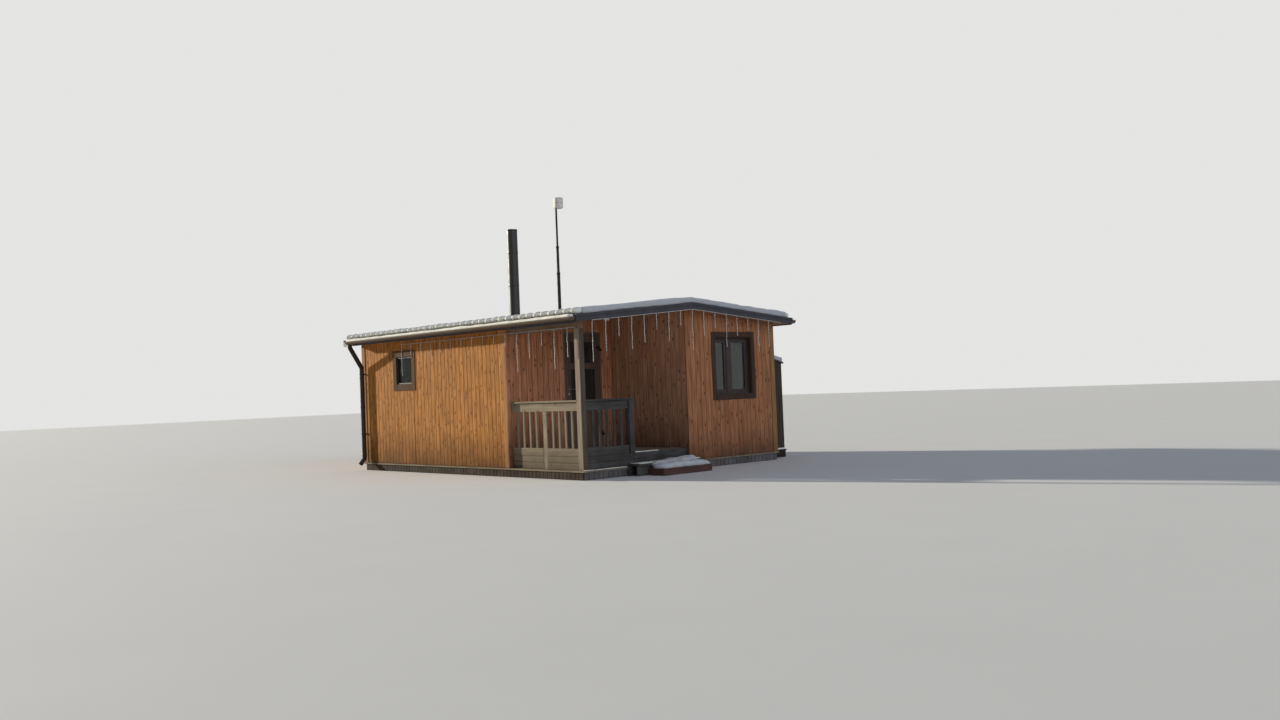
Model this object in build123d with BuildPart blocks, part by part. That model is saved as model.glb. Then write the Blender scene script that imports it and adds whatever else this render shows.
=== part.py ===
import os
from math import cos, radians, sin, tan

from build123d import *

# An off-grid timber cabin, in millimetres.
# +X runs along the long side towards the gable end with the window, +Y runs across from the
# sunny long front to the rear, +Z is up. The origin is on the ground under the middle of the house.

# Footprint and walls
LENGTH = 6530
WIDTH = 4530
PORCH_LENGTH = 1870
PORCH_PAST_RIDGE = 45
WALL = 120

# Levels above the ground
SKIRT_HEIGHT = 120
LEDGE_THICK = 25
JOIST_HEIGHT = 200
FLOOR_THICK = 45
DECK_THICK = 35
RIDGE_UNDERSIDE = 2650

# Base
SKIRT_THICK = 25
SKIRT_INSET = 5
LEDGE_OUT = 30
LEDGE_IN = 130
BEARER_WIDTH = 100
JOIST_WIDTH = 45
JOIST_SPACING = 600

# Roof
PITCH = 5.2
ROOF_DECK = 80
EAVE = 240
VERGE = 280
VERGE_BOARD = 25
VERGE_DROP = 6
FASCIA_THICK = 22
FASCIA_HEIGHT = 100
SHEET_THICK = 3
WAVE_PITCH = 183
WAVE_HEIGHT = 22
WAVE_FLAT = 50
RIDGE_CAP_REACH = 150
RIDGE_CAP_THICK = 3

# Snow on the roof
SNOW_DEPTH = 100
SNOW_SETBACK = 10
SNOW_PAST_EAVE = 12
SNOW_EDGE = 30
MELT_RADIUS = 200
MAST_MELT = 45

# Gutters and downpipes
GUTTER_RADIUS = 60
GUTTER_WALL = 3
GUTTER_DROP = 14
GUTTER_LENGTHS = 4
OUTLET_FITTING = 180
PIPE_RADIUS = 43
PIPE_WALL = 3
PIPE_OFFSET = 87
PIPE_FROM_CORNER = 82
NECK_STRAIGHT = 60
NECK_DROP = 450
PIPE_FOOT = 230
SHOE_REACH = 90
SHOE_DROP = 110
CLIP_HEIGHTS = (700, 1850)
CLIP_SIZE = 30

# Corner boards and openings
TRIM_THICK = 20
CORNER_BOARD = 95
FRONT_WINDOW_X = 1500
FRONT_WINDOW_WIDTH = 520
FRONT_WINDOW_SILL = 1620
FRONT_WINDOW_HEIGHT = 500
FRONT_TRIM = 120
FRONT_SASH = 24
GABLE_WINDOW_FROM_REAR = 1055
GABLE_WINDOW_WIDTH = 910
GABLE_WINDOW_SILL = 1210
GABLE_WINDOW_HEIGHT = 980
GABLE_TRIM = 95
GABLE_RECESS = 60
GABLE_STILE = 85
GABLE_MULLION = 190
GABLE_SMALL_PANE = 210
FRAME_DEPTH = 60
GLASS_THICK = 6

# Door
DOOR_FROM_CORNER = 240
DOOR_WIDTH = 860
DOOR_TOP = 2390
JAMB = 40
DOOR_STOP = 15
THRESHOLD = 60
LEAF_THICK = 44
DOOR_GAP = 7
STILE = 105
TOP_RAIL = 115
CROSS_RAIL = 90
CROSS_RAIL_Z = 1800
LOWER_RAIL_Z = 1080
PANEL_RECESS = 10
PANEL_MARGIN = 70
HINGE_HEIGHTS = (620, 2100)
KNUCKLE_RADIUS = 9
KNUCKLE_LENGTH = 42
HINGE_OUT = 10
PIN_RADIUS = 5
PIN_CLEARANCE = 0.3
STRAP_REACH = 62
STRAP_THICK = 3
HANDLE_Z = 1400
HANDLE_INSET = 55
ROSE_RADIUS = 25
ROSE_THICK = 8
NECK_RADIUS = 9
HANDLE_OUT = 52
LEVER_LENGTH = 120

# Porch
POST_WIDTH = 120
POST_DEPTH = 100
POST_SETBACK = 30
BEAM_HEIGHT = 110
RAIL_BOARD = 25
RAIL_SETBACK = 28
RAIL_TOP = 1230
RAIL_HEIGHT = 140
RAIL_CAP = 28
RAIL_CAP_WIDTH = 90
RAIL_PANEL_TOP = 480
BALUSTER = 45
BALUSTER_THICK = 25
BALUSTER_PITCH = 155
MID_POST_X = 830
MID_POST_WIDTH = 100
ENTRANCE_WIDTH = 1190
STEP_DEPTH = 250
STEP_HEIGHT = 190
STEP_BOARD = 35
STEP_LENGTH = 1410
PLATFORM_DEPTH = 370
PLATFORM_HEIGHT = 110
PLATFORM_LENGTH = 1080
LAMP_FROM_DOOR_WALL = 840
LAMP_FROM_BACK_WALL = 810
LAMP_RADIUS = 55
LAMP_HEIGHT = 45

# Flue and mast
FLUE_X = 1390
FLUE_BEHIND_RIDGE = 400
FLUE_RADIUS = 106
FLUE_BORE = 80
FLUE_TOP = 4670
FLUE_BELOW = 150
COLLAR_HEIGHT = 160
COLLAR_SPREAD = 90
COLLAR_WALL = 4
MAST_X = 395
MAST_OFF_WALL = 110
MAST_RADIUS = 30
MAST_TIP_RADIUS = 22
MAST_FOOT = 1450
MAST_STEP = 4540
MAST_TOP = 5390
MAST_BRACKETS = (1600, 2250)
BRACKET_SIZE = 40
HEAD_RADIUS = 104
HEAD_HEIGHT = 235
HEAD_EDGE = 26
HEAD_OFFSET = 40

# Rear cupboard
CUPBOARD_START = 5100
CUPBOARD_LENGTH = 1100
CUPBOARD_DEPTH = 600
CUPBOARD_HEIGHT = 1880
CUPBOARD_FALL = 150
CUPBOARD_WALL = 22
LID_THICK = 30
LID_OVERHANG = 40

# String of lights along the front wall, the porch beam and the verge
CABLE_SIZE = 8
DROP_RADIUS = 4
FRONT_CABLE_TOP = 2356
FRONT_DROP_FIRST = 1464
FRONT_DROP_PITCH = 322
FRONT_DROPS = (580, 250, 180, 260, 200, 140, 130, 140, 120, 130, 200, 640, 425, 245, 625, 450)
GABLE_DROP_FIRST = 60
GABLE_DROP_PITCH = 272
GABLE_DROPS = (630, 490, 290, 520, 430, 260, 470, 250, 650, 410, 260, 550, 340, 220, 560, 460)

# What seats on its neighbour stands this far from it
SEAT = 0.3

# Places worked out from the sizes above
HALF_LENGTH = LENGTH / 2
HALF_WIDTH = WIDTH / 2
PORCH_X = HALF_LENGTH - PORCH_LENGTH
PORCH_Y = PORCH_PAST_RIDGE
WALL_BASE = SKIRT_HEIGHT + LEDGE_THICK
JOIST_TOP = SKIRT_HEIGHT + JOIST_HEIGHT
DECK_TOP = JOIST_TOP + DECK_THICK
SLOPE = tan(radians(PITCH))
ROOF_HALF_LENGTH = HALF_LENGTH + VERGE - VERGE_BOARD
EAVE_Y = HALF_WIDTH + EAVE
SHEET_RISE = (WAVE_HEIGHT + SHEET_THICK) / cos(radians(PITCH))


def underside(y):
    """Height of the roof deck's underside over a point across the house."""
    return RIDGE_UNDERSIDE - abs(y) * SLOPE


def deck_top(y):
    """Height of the roof deck's top over a point across the house."""
    return underside(y) + ROOF_DECK


def board(x0, x1, y0, y1, z0, z1):
    """Add a straight board between two corners to the part being built."""
    with Locations(((x0 + x1) / 2, (y0 + y1) / 2, (z0 + z1) / 2)):
        Box(x1 - x0, y1 - y0, z1 - z0)


def under_roof(y0, y1, z0):
    """Corners of an upright outline across the house, cut to the roof's underside."""
    apex = [(0, underside(0))] if y0 < 0 < y1 else []
    return [(y0, z0), (y0, underside(y0)), *apex, (y1, underside(y1)), (y1, z0)]


os.makedirs("parts", exist_ok=True)

# Base: timber bearers on the ground, skirt boards round them and a sill ledge on top
bearer_reach = HALF_WIDTH - SKIRT_INSET - SKIRT_THICK - BEARER_WIDTH / 2
bearer_end = HALF_LENGTH - SKIRT_INSET - SKIRT_THICK
with BuildPart() as bearers:
    for share in (-1, -0.5, 0, 0.5, 1):
        middle = share * bearer_reach
        board(-bearer_end, bearer_end, middle - BEARER_WIDTH / 2, middle + BEARER_WIDTH / 2, 0, SKIRT_HEIGHT)
bearers.part.label = "bearers"

with BuildPart() as skirt:
    with BuildSketch():
        Rectangle(LENGTH - 2 * SKIRT_INSET, WIDTH - 2 * SKIRT_INSET)
        Rectangle(2 * bearer_end, WIDTH - 2 * SKIRT_INSET - 2 * SKIRT_THICK, mode=Mode.SUBTRACT)
    extrude(amount=SKIRT_HEIGHT)
skirt.part.label = "skirt"

with BuildPart() as base_ledge:
    with BuildSketch(Plane.XY.offset(SKIRT_HEIGHT)):
        Rectangle(LENGTH + 2 * LEDGE_OUT, WIDTH + 2 * LEDGE_OUT)
        Rectangle(LENGTH - 2 * LEDGE_IN, WIDTH - 2 * LEDGE_IN, mode=Mode.SUBTRACT)
    extrude(amount=LEDGE_THICK)
base_ledge.part.label = "base_ledge"

# Floor and porch deck on joists across the house, one joist under the wall by the porch
joist_first = -HALF_LENGTH + LEDGE_IN + JOIST_WIDTH
joist_wall = PORCH_X - WALL / 2
joist_last = HALF_LENGTH - LEDGE_IN - JOIST_WIDTH
room_bays = round((joist_wall - joist_first) / JOIST_SPACING)
deck_bays = round((joist_last - joist_wall) / JOIST_SPACING)
with BuildPart() as floor_joists:
    for bay in range(room_bays + deck_bays + 1):
        if bay <= room_bays:
            middle = joist_first + bay * (joist_wall - joist_first) / room_bays
        else:
            middle = joist_wall + (bay - room_bays) * (joist_last - joist_wall) / deck_bays
        board(middle - JOIST_WIDTH / 2, middle + JOIST_WIDTH / 2, LEDGE_IN - HALF_WIDTH,
              HALF_WIDTH - LEDGE_IN, SKIRT_HEIGHT, JOIST_TOP)
floor_joists.part.label = "floor_joists"

with BuildPart() as floor_boards:
    with BuildSketch(Plane.XY.offset(JOIST_TOP)):
        with BuildLine():
            Polyline(
                (WALL - HALF_LENGTH, WALL - HALF_WIDTH),
                (PORCH_X - WALL, WALL - HALF_WIDTH),
                (PORCH_X - WALL, PORCH_Y + WALL),
                (HALF_LENGTH - WALL, PORCH_Y + WALL),
                (HALF_LENGTH - WALL, HALF_WIDTH - WALL),
                (WALL - HALF_LENGTH, HALF_WIDTH - WALL),
                close=True,
            )
        make_face()
    extrude(amount=FLOOR_THICK)
floor_boards.part.label = "floor_boards"

post_front = POST_SETBACK - HALF_WIDTH
post_side = HALF_LENGTH - POST_SETBACK
rail_front = post_front + RAIL_SETBACK
rail_side = post_side - RAIL_SETBACK
with BuildPart() as deck_boards:
    board(PORCH_X, rail_side - RAIL_BOARD, rail_front + RAIL_BOARD, PORCH_Y, JOIST_TOP, DECK_TOP)
    with Locations((post_side - POST_WIDTH / 2, post_front + POST_DEPTH / 2, JOIST_TOP + DECK_THICK / 2)):
        Box(POST_WIDTH + 2 * SEAT, POST_DEPTH + 2 * SEAT, DECK_THICK, mode=Mode.SUBTRACT)
deck_boards.part.label = "deck_boards"

# Walls: each outline runs across the house and ends under the roof
with BuildPart() as front_wall:
    with BuildSketch(Plane.YZ.offset(-HALF_LENGTH)):
        with BuildLine():
            Polyline(*under_roof(-HALF_WIDTH, WALL - HALF_WIDTH, WALL_BASE), close=True)
        make_face()
    extrude(amount=LENGTH - PORCH_LENGTH)
    with BuildSketch(Plane.XZ.offset(HALF_WIDTH)):
        with Locations((FRONT_WINDOW_X - HALF_LENGTH, FRONT_WINDOW_SILL + FRONT_WINDOW_HEIGHT / 2)):
            Rectangle(FRONT_WINDOW_WIDTH, FRONT_WINDOW_HEIGHT)
    extrude(amount=-WALL, mode=Mode.SUBTRACT)
front_wall.part.label = "front_wall"

with BuildPart() as rear_wall:
    with BuildSketch(Plane.YZ.offset(-HALF_LENGTH)):
        with BuildLine():
            Polyline(*under_roof(HALF_WIDTH - WALL, HALF_WIDTH, WALL_BASE), close=True)
        make_face()
    extrude(amount=LENGTH)
rear_wall.part.label = "rear_wall"

with BuildPart() as left_wall:
    with BuildSketch(Plane.YZ.offset(-HALF_LENGTH)):
        with BuildLine():
            Polyline(*under_roof(WALL - HALF_WIDTH, HALF_WIDTH - WALL, WALL_BASE), close=True)
        make_face()
    extrude(amount=WALL)
left_wall.part.label = "left_wall"

window_y = HALF_WIDTH - GABLE_WINDOW_FROM_REAR
window_mid_z = GABLE_WINDOW_SILL + GABLE_WINDOW_HEIGHT / 2
with BuildPart() as gable_wall:
    with BuildSketch(Plane.YZ.offset(HALF_LENGTH - WALL)):
        with BuildLine():
            Polyline(*under_roof(PORCH_Y, HALF_WIDTH - WALL, WALL_BASE), close=True)
        make_face()
        with Locations((window_y, window_mid_z)):
            Rectangle(GABLE_WINDOW_WIDTH, GABLE_WINDOW_HEIGHT, mode=Mode.SUBTRACT)
    extrude(amount=WALL)
gable_wall.part.label = "gable_wall"

with BuildPart() as porch_back_wall:
    with BuildSketch(Plane.YZ.offset(PORCH_X - WALL)):
        with BuildLine():
            Polyline(*under_roof(PORCH_Y, PORCH_Y + WALL, JOIST_TOP), close=True)
        make_face()
    extrude(amount=PORCH_LENGTH)
porch_back_wall.part.label = "porch_back_wall"

door_y1 = PORCH_Y - DOOR_FROM_CORNER
door_y0 = door_y1 - DOOR_WIDTH
with BuildPart() as porch_wall_front:
    with BuildSketch(Plane.YZ.offset(PORCH_X - WALL)):
        with BuildLine():
            Polyline(*under_roof(WALL - HALF_WIDTH, door_y0, JOIST_TOP), close=True)
        make_face()
    extrude(amount=WALL)
porch_wall_front.part.label = "porch_wall_front"

with BuildPart() as porch_wall_rear:
    with BuildSketch(Plane.YZ.offset(PORCH_X - WALL)):
        with BuildLine():
            Polyline(*under_roof(door_y1, PORCH_Y, JOIST_TOP), close=True)
        make_face()
    extrude(amount=WALL)
porch_wall_rear.part.label = "porch_wall_rear"

with BuildPart() as porch_wall_head:
    with BuildSketch(Plane.YZ.offset(PORCH_X - WALL)):
        with BuildLine():
            Polyline(*under_roof(door_y0, door_y1, DOOR_TOP), close=True)
        make_face()
    extrude(amount=WALL)
porch_wall_head.part.label = "porch_wall_head"

# Corner boards: an angle on each outer corner and a flat board where the wing meets the porch
corner_top = underside(HALF_WIDTH + TRIM_THICK)
with BuildPart() as corner_boards:
    for side_x, side_y in ((-1, -1), (-1, 1), (1, 1)):
        outer_x = side_x * (HALF_LENGTH + TRIM_THICK)
        outer_y = side_y * (HALF_WIDTH + TRIM_THICK)
        inner_x = side_x * (HALF_LENGTH - CORNER_BOARD)
        inner_y = side_y * (HALF_WIDTH - CORNER_BOARD)
        with BuildSketch(Plane.XY.offset(WALL_BASE)):
            with BuildLine():
                Polyline(
                    (outer_x, outer_y),
                    (outer_x, inner_y),
                    (side_x * HALF_LENGTH, inner_y),
                    (side_x * HALF_LENGTH, side_y * HALF_WIDTH),
                    (inner_x, side_y * HALF_WIDTH),
                    (inner_x, outer_y),
                    close=True,
                )
            make_face()
        extrude(amount=corner_top - WALL_BASE)
    board(PORCH_X - CORNER_BOARD, PORCH_X, -HALF_WIDTH - TRIM_THICK, -HALF_WIDTH, WALL_BASE, corner_top)
corner_boards.part.label = "corner_boards"

# Front window: plain boards round it, a slim frame and one pane
front_x = FRONT_WINDOW_X - HALF_LENGTH
front_mid_z = FRONT_WINDOW_SILL + FRONT_WINDOW_HEIGHT / 2
with BuildPart() as front_window_trim:
    with BuildSketch(Plane.XZ.offset(HALF_WIDTH)):
        with Locations((front_x, front_mid_z)):
            Rectangle(FRONT_WINDOW_WIDTH + 2 * FRONT_TRIM, FRONT_WINDOW_HEIGHT + 2 * FRONT_TRIM)
            Rectangle(FRONT_WINDOW_WIDTH, FRONT_WINDOW_HEIGHT, mode=Mode.SUBTRACT)
    extrude(amount=TRIM_THICK)
front_window_trim.part.label = "front_window_trim"

with BuildPart() as front_window_frame:
    with BuildSketch(Plane.XZ.offset(HALF_WIDTH)):
        with Locations((front_x, front_mid_z)):
            Rectangle(FRONT_WINDOW_WIDTH - 2 * SEAT, FRONT_WINDOW_HEIGHT - 2 * SEAT)
            Rectangle(FRONT_WINDOW_WIDTH - 2 * FRONT_SASH, FRONT_WINDOW_HEIGHT - 2 * FRONT_SASH,
                      mode=Mode.SUBTRACT)
    extrude(amount=-FRAME_DEPTH)
front_window_frame.part.label = "front_window_frame"

with BuildPart() as front_window_glass:
    with BuildSketch(Plane.XZ.offset(HALF_WIDTH - FRAME_DEPTH / 2)):
        with Locations((front_x, front_mid_z)):
            Rectangle(FRONT_WINDOW_WIDTH - 2 * FRONT_SASH - 2 * SEAT,
                      FRONT_WINDOW_HEIGHT - 2 * FRONT_SASH - 2 * SEAT)
    extrude(amount=-GLASS_THICK)
front_window_glass.part.label = "front_window_glass"

# Gable window: a narrow and a wide sash behind a deep reveal
pane_height = GABLE_WINDOW_HEIGHT - 2 * GABLE_STILE
wide_pane = GABLE_WINDOW_WIDTH - 2 * GABLE_STILE - GABLE_MULLION - GABLE_SMALL_PANE
panes = (
    (window_y - GABLE_WINDOW_WIDTH / 2 + GABLE_STILE + GABLE_SMALL_PANE / 2, GABLE_SMALL_PANE),
    (window_y + GABLE_WINDOW_WIDTH / 2 - GABLE_STILE - wide_pane / 2, wide_pane),
)
with BuildPart() as gable_window_trim:
    with BuildSketch(Plane.YZ.offset(HALF_LENGTH)):
        with Locations((window_y, window_mid_z)):
            Rectangle(GABLE_WINDOW_WIDTH + 2 * GABLE_TRIM, GABLE_WINDOW_HEIGHT + 2 * GABLE_TRIM)
            Rectangle(GABLE_WINDOW_WIDTH, GABLE_WINDOW_HEIGHT, mode=Mode.SUBTRACT)
    extrude(amount=TRIM_THICK)
gable_window_trim.part.label = "gable_window_trim"

with BuildPart() as gable_window_frame:
    with BuildSketch(Plane.YZ.offset(HALF_LENGTH - GABLE_RECESS - FRAME_DEPTH)):
        with Locations((window_y, window_mid_z)):
            Rectangle(GABLE_WINDOW_WIDTH - 2 * SEAT, GABLE_WINDOW_HEIGHT - 2 * SEAT)
        for pane_y, pane_width in panes:
            with Locations((pane_y, window_mid_z)):
                Rectangle(pane_width, pane_height, mode=Mode.SUBTRACT)
    extrude(amount=FRAME_DEPTH)
gable_window_frame.part.label = "gable_window_frame"

with BuildPart() as gable_window_glass:
    with BuildSketch(Plane.YZ.offset(HALF_LENGTH - GABLE_RECESS - FRAME_DEPTH / 2)):
        for pane_y, pane_width in panes:
            with Locations((pane_y, window_mid_z)):
                Rectangle(pane_width - 2 * SEAT, pane_height - 2 * SEAT)
    extrude(amount=-GLASS_THICK)
gable_window_glass.part.label = "gable_window_glass"

# Door frame: jambs, head and threshold with a rebate for the leaf and a stop behind it
rebate_depth = LEAF_THICK + DOOR_GAP
door_mid_y = (door_y0 + door_y1) / 2
rebate_bottom = JOIST_TOP + THRESHOLD
rebate_top = DOOR_TOP - JAMB
with BuildPart() as door_frame:
    with BuildSketch(Plane.YZ.offset(PORCH_X - WALL)):
        with Locations((door_mid_y, (JOIST_TOP + DOOR_TOP) / 2)):
            Rectangle(DOOR_WIDTH - 2 * SEAT, DOOR_TOP - JOIST_TOP - 2 * SEAT)
        with Locations((door_mid_y, (rebate_bottom + rebate_top) / 2)):
            Rectangle(DOOR_WIDTH - 2 * (JAMB + DOOR_STOP), rebate_top - rebate_bottom - 2 * DOOR_STOP,
                      mode=Mode.SUBTRACT)
    extrude(amount=WALL)
    with BuildSketch(Plane.YZ.offset(PORCH_X)):
        with Locations((door_mid_y, (rebate_bottom + rebate_top) / 2)):
            Rectangle(DOOR_WIDTH - 2 * JAMB, rebate_top - rebate_bottom)
    extrude(amount=-rebate_depth, mode=Mode.SUBTRACT)
door_frame.part.label = "door_frame"

# Door leaf: two glazed fields over a sunk panel
leaf_y0 = door_y0 + JAMB + DOOR_GAP
leaf_y1 = door_y1 - JAMB - DOOR_GAP
leaf_z0 = rebate_bottom + DOOR_GAP
leaf_z1 = rebate_top - DOOR_GAP
glass_width = leaf_y1 - leaf_y0 - 2 * STILE
upper_glass = (CROSS_RAIL_Z + CROSS_RAIL / 2, leaf_z1 - TOP_RAIL)
lower_glass = (LOWER_RAIL_Z, CROSS_RAIL_Z - CROSS_RAIL / 2)
panel_top = LOWER_RAIL_Z - PANEL_MARGIN
panel_foot = leaf_z0 + PANEL_MARGIN
with BuildPart() as door_leaf:
    with BuildSketch(Plane.YZ.offset(PORCH_X)):
        with Locations((door_mid_y, (leaf_z0 + leaf_z1) / 2)):
            Rectangle(leaf_y1 - leaf_y0, leaf_z1 - leaf_z0)
        for low, high in (upper_glass, lower_glass):
            with Locations((door_mid_y, (low + high) / 2)):
                Rectangle(glass_width, high - low, mode=Mode.SUBTRACT)
    extrude(amount=-LEAF_THICK)
    with BuildSketch(Plane.YZ.offset(PORCH_X)):
        with Locations((door_mid_y, (panel_foot + panel_top) / 2)):
            Rectangle(glass_width, panel_top - panel_foot)
    extrude(amount=-PANEL_RECESS, mode=Mode.SUBTRACT)
door_leaf.part.label = "door_leaf"

with BuildPart() as door_glass:
    with BuildSketch(Plane.YZ.offset(PORCH_X - (LEAF_THICK - GLASS_THICK) / 2)):
        for low, high in (upper_glass, lower_glass):
            with Locations((door_mid_y, (low + high) / 2)):
                Rectangle(glass_width - 2 * SEAT, high - low - 2 * SEAT)
    extrude(amount=-GLASS_THICK)
door_glass.part.label = "door_glass"

# Lift-off hinges on the rear jamb: a pin on the frame carries a knuckle on the leaf
pivot_x = PORCH_X + HINGE_OUT
pivot_y = leaf_y1 + DOOR_GAP / 2
with BuildPart() as hinge_pins:
    for height in HINGE_HEIGHTS:
        with BuildSketch(Plane.XY.offset(height - KNUCKLE_LENGTH)):
            with Locations((pivot_x, pivot_y)):
                Circle(KNUCKLE_RADIUS)
            with Locations((PORCH_X + SEAT + STRAP_THICK / 2, pivot_y + STRAP_REACH / 2)):
                Rectangle(STRAP_THICK, STRAP_REACH)
        extrude(amount=KNUCKLE_LENGTH)
        with BuildSketch(Plane.XY.offset(height)):
            with Locations((pivot_x, pivot_y)):
                Circle(PIN_RADIUS)
        extrude(amount=KNUCKLE_LENGTH)
hinge_pins.part.label = "hinge_pins"

with BuildPart() as hinge_knuckles:
    for height in HINGE_HEIGHTS:
        with BuildSketch(Plane.XY.offset(height + PIN_CLEARANCE)):
            with Locations((PORCH_X + SEAT + STRAP_THICK / 2, pivot_y - STRAP_REACH / 2)):
                Rectangle(STRAP_THICK, STRAP_REACH)
            with Locations((pivot_x, pivot_y)):
                Circle(KNUCKLE_RADIUS)
                Circle(PIN_RADIUS + PIN_CLEARANCE, mode=Mode.SUBTRACT)
        extrude(amount=KNUCKLE_LENGTH)
hinge_knuckles.part.label = "hinge_knuckles"

# Door handle: a rose, a neck and a rounded lever on each face of the leaf
handle_y = leaf_y0 + HANDLE_INSET
with BuildPart() as door_handle:
    for face_x, way in ((PORCH_X + SEAT, 1), (PORCH_X - LEAF_THICK - SEAT, -1)):
        with BuildSketch(Plane.YZ.offset(face_x)):
            with Locations((handle_y, HANDLE_Z)):
                Circle(ROSE_RADIUS)
        extrude(amount=way * ROSE_THICK)
        with BuildSketch(Plane.YZ.offset(face_x)):
            with Locations((handle_y, HANDLE_Z)):
                Circle(NECK_RADIUS)
        extrude(amount=way * HANDLE_OUT)
        with BuildSketch(Plane.XZ.offset(NECK_RADIUS - handle_y)):
            with Locations((face_x + way * (HANDLE_OUT - NECK_RADIUS), HANDLE_Z)):
                Circle(NECK_RADIUS)
        extrude(amount=-LEVER_LENGTH)
door_handle.part.label = "door_handle"

# Roof decks on both slopes, from verge board to verge board
with BuildPart() as roof_deck_front:
    with BuildSketch(Plane.YZ.offset(-ROOF_HALF_LENGTH)):
        with BuildLine():
            Polyline((-EAVE_Y, underside(EAVE_Y)), (-EAVE_Y, deck_top(EAVE_Y)), (0, deck_top(0)),
                     (0, underside(0)), close=True)
        make_face()
    extrude(amount=2 * ROOF_HALF_LENGTH)
roof_deck_front.part.label = "roof_deck_front"

flue_x = FLUE_X - HALF_LENGTH
flue_y = FLUE_BEHIND_RIDGE
mast_x = MAST_X - HALF_LENGTH
mast_y = HALF_WIDTH + MAST_OFF_WALL
with BuildPart() as roof_deck_rear:
    with BuildSketch(Plane.YZ.offset(-ROOF_HALF_LENGTH)):
        with BuildLine():
            Polyline((EAVE_Y, underside(EAVE_Y)), (EAVE_Y, deck_top(EAVE_Y)), (0, deck_top(0)),
                     (0, underside(0)), close=True)
        make_face()
    extrude(amount=2 * ROOF_HALF_LENGTH)
    with BuildSketch(Plane.XY.offset(RIDGE_UNDERSIDE - EAVE_Y)):
        with Locations((flue_x, flue_y)):
            Circle(FLUE_RADIUS + SEAT)
        with Locations((mast_x, mast_y)):
            Circle(MAST_RADIUS + SEAT)
    extrude(amount=2 * EAVE_Y, mode=Mode.SUBTRACT)
roof_deck_rear.part.label = "roof_deck_rear"

# Profiled roofing: flat troughs seated on the deck and round crests between them
wave_count = round(2 * ROOF_HALF_LENGTH / WAVE_PITCH)
wave = 2 * ROOF_HALF_LENGTH / wave_count
flat = WAVE_FLAT / 2
slope_length = EAVE_Y / cos(radians(PITCH))
front_slope = Plane(
    origin=(-ROOF_HALF_LENGTH, 0, deck_top(0)),
    x_dir=(1, 0, 0),
    z_dir=(0, -cos(radians(PITCH)), -sin(radians(PITCH))),
)
with BuildPart() as roof_sheet_front:
    with BuildSketch(front_slope):
        with BuildLine():
            Line((0, SHEET_THICK), (0, 0))
            for index in range(wave_count):
                start = index * wave
                Line((start, SHEET_THICK), (start + flat, SHEET_THICK))
                ThreePointArc((start + flat, SHEET_THICK), (start + wave / 2, WAVE_HEIGHT + SHEET_THICK),
                              (start + wave - flat, SHEET_THICK))
                Line((start + wave - flat, SHEET_THICK), (start + wave, SHEET_THICK))
                Line((start, 0), (start + flat + SHEET_THICK, 0))
                ThreePointArc((start + flat + SHEET_THICK, 0), (start + wave / 2, WAVE_HEIGHT),
                              (start + wave - flat - SHEET_THICK, 0))
                Line((start + wave - flat - SHEET_THICK, 0), (start + wave, 0))
            Line((wave_count * wave, SHEET_THICK), (wave_count * wave, 0))
        make_face()
    extrude(amount=slope_length)
roof_sheet_front.part.label = "roof_sheet_front"

with BuildPart() as roof_sheet_rear:
    add(roof_sheet_front.part.mirror(Plane.XZ))
    with BuildSketch(Plane.XY.offset(RIDGE_UNDERSIDE - EAVE_Y)):
        with Locations((flue_x, flue_y)):
            Circle(FLUE_RADIUS + SEAT)
        with Locations((mast_x, mast_y)):
            Circle(MAST_RADIUS + SEAT)
    extrude(amount=2 * EAVE_Y, mode=Mode.SUBTRACT)
roof_sheet_rear.part.label = "roof_sheet_rear"

crest = SHEET_RISE + SEAT
with BuildPart() as ridge_cap:
    with BuildSketch(Plane.YZ.offset(-ROOF_HALF_LENGTH)):
        with BuildLine():
            Polyline(
                (-RIDGE_CAP_REACH, deck_top(RIDGE_CAP_REACH) + crest),
                (0, deck_top(0) + crest),
                (RIDGE_CAP_REACH, deck_top(RIDGE_CAP_REACH) + crest),
                (RIDGE_CAP_REACH, deck_top(RIDGE_CAP_REACH) + crest + RIDGE_CAP_THICK),
                (0, deck_top(0) + crest + RIDGE_CAP_THICK),
                (-RIDGE_CAP_REACH, deck_top(RIDGE_CAP_REACH) + crest + RIDGE_CAP_THICK),
                close=True,
            )
        make_face()
    extrude(amount=2 * ROOF_HALF_LENGTH)
ridge_cap.part.label = "ridge_cap"

# Verge boards at both ends and fascia boards along both eaves
verge_reach = EAVE_Y + FASCIA_THICK
with BuildPart() as verge_boards:
    for start in (-ROOF_HALF_LENGTH - VERGE_BOARD, ROOF_HALF_LENGTH):
        with BuildSketch(Plane.YZ.offset(start)):
            with BuildLine():
                Polyline(
                    (-verge_reach, underside(verge_reach) - VERGE_DROP),
                    (0, underside(0) - VERGE_DROP),
                    (verge_reach, underside(verge_reach) - VERGE_DROP),
                    (verge_reach, deck_top(verge_reach) + SHEET_RISE),
                    (0, deck_top(0) + SHEET_RISE),
                    (-verge_reach, deck_top(verge_reach) + SHEET_RISE),
                    close=True,
                )
            make_face()
        extrude(amount=VERGE_BOARD)
verge_boards.part.label = "verge_boards"

fascia_top = deck_top(EAVE_Y)
with BuildPart() as eave_boards:
    board(-ROOF_HALF_LENGTH, ROOF_HALF_LENGTH, -EAVE_Y - FASCIA_THICK, -EAVE_Y,
          fascia_top - FASCIA_HEIGHT, fascia_top)
    board(-ROOF_HALF_LENGTH, ROOF_HALF_LENGTH, EAVE_Y, EAVE_Y + FASCIA_THICK,
          fascia_top - FASCIA_HEIGHT, fascia_top)
eave_boards.part.label = "eave_boards"

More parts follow.
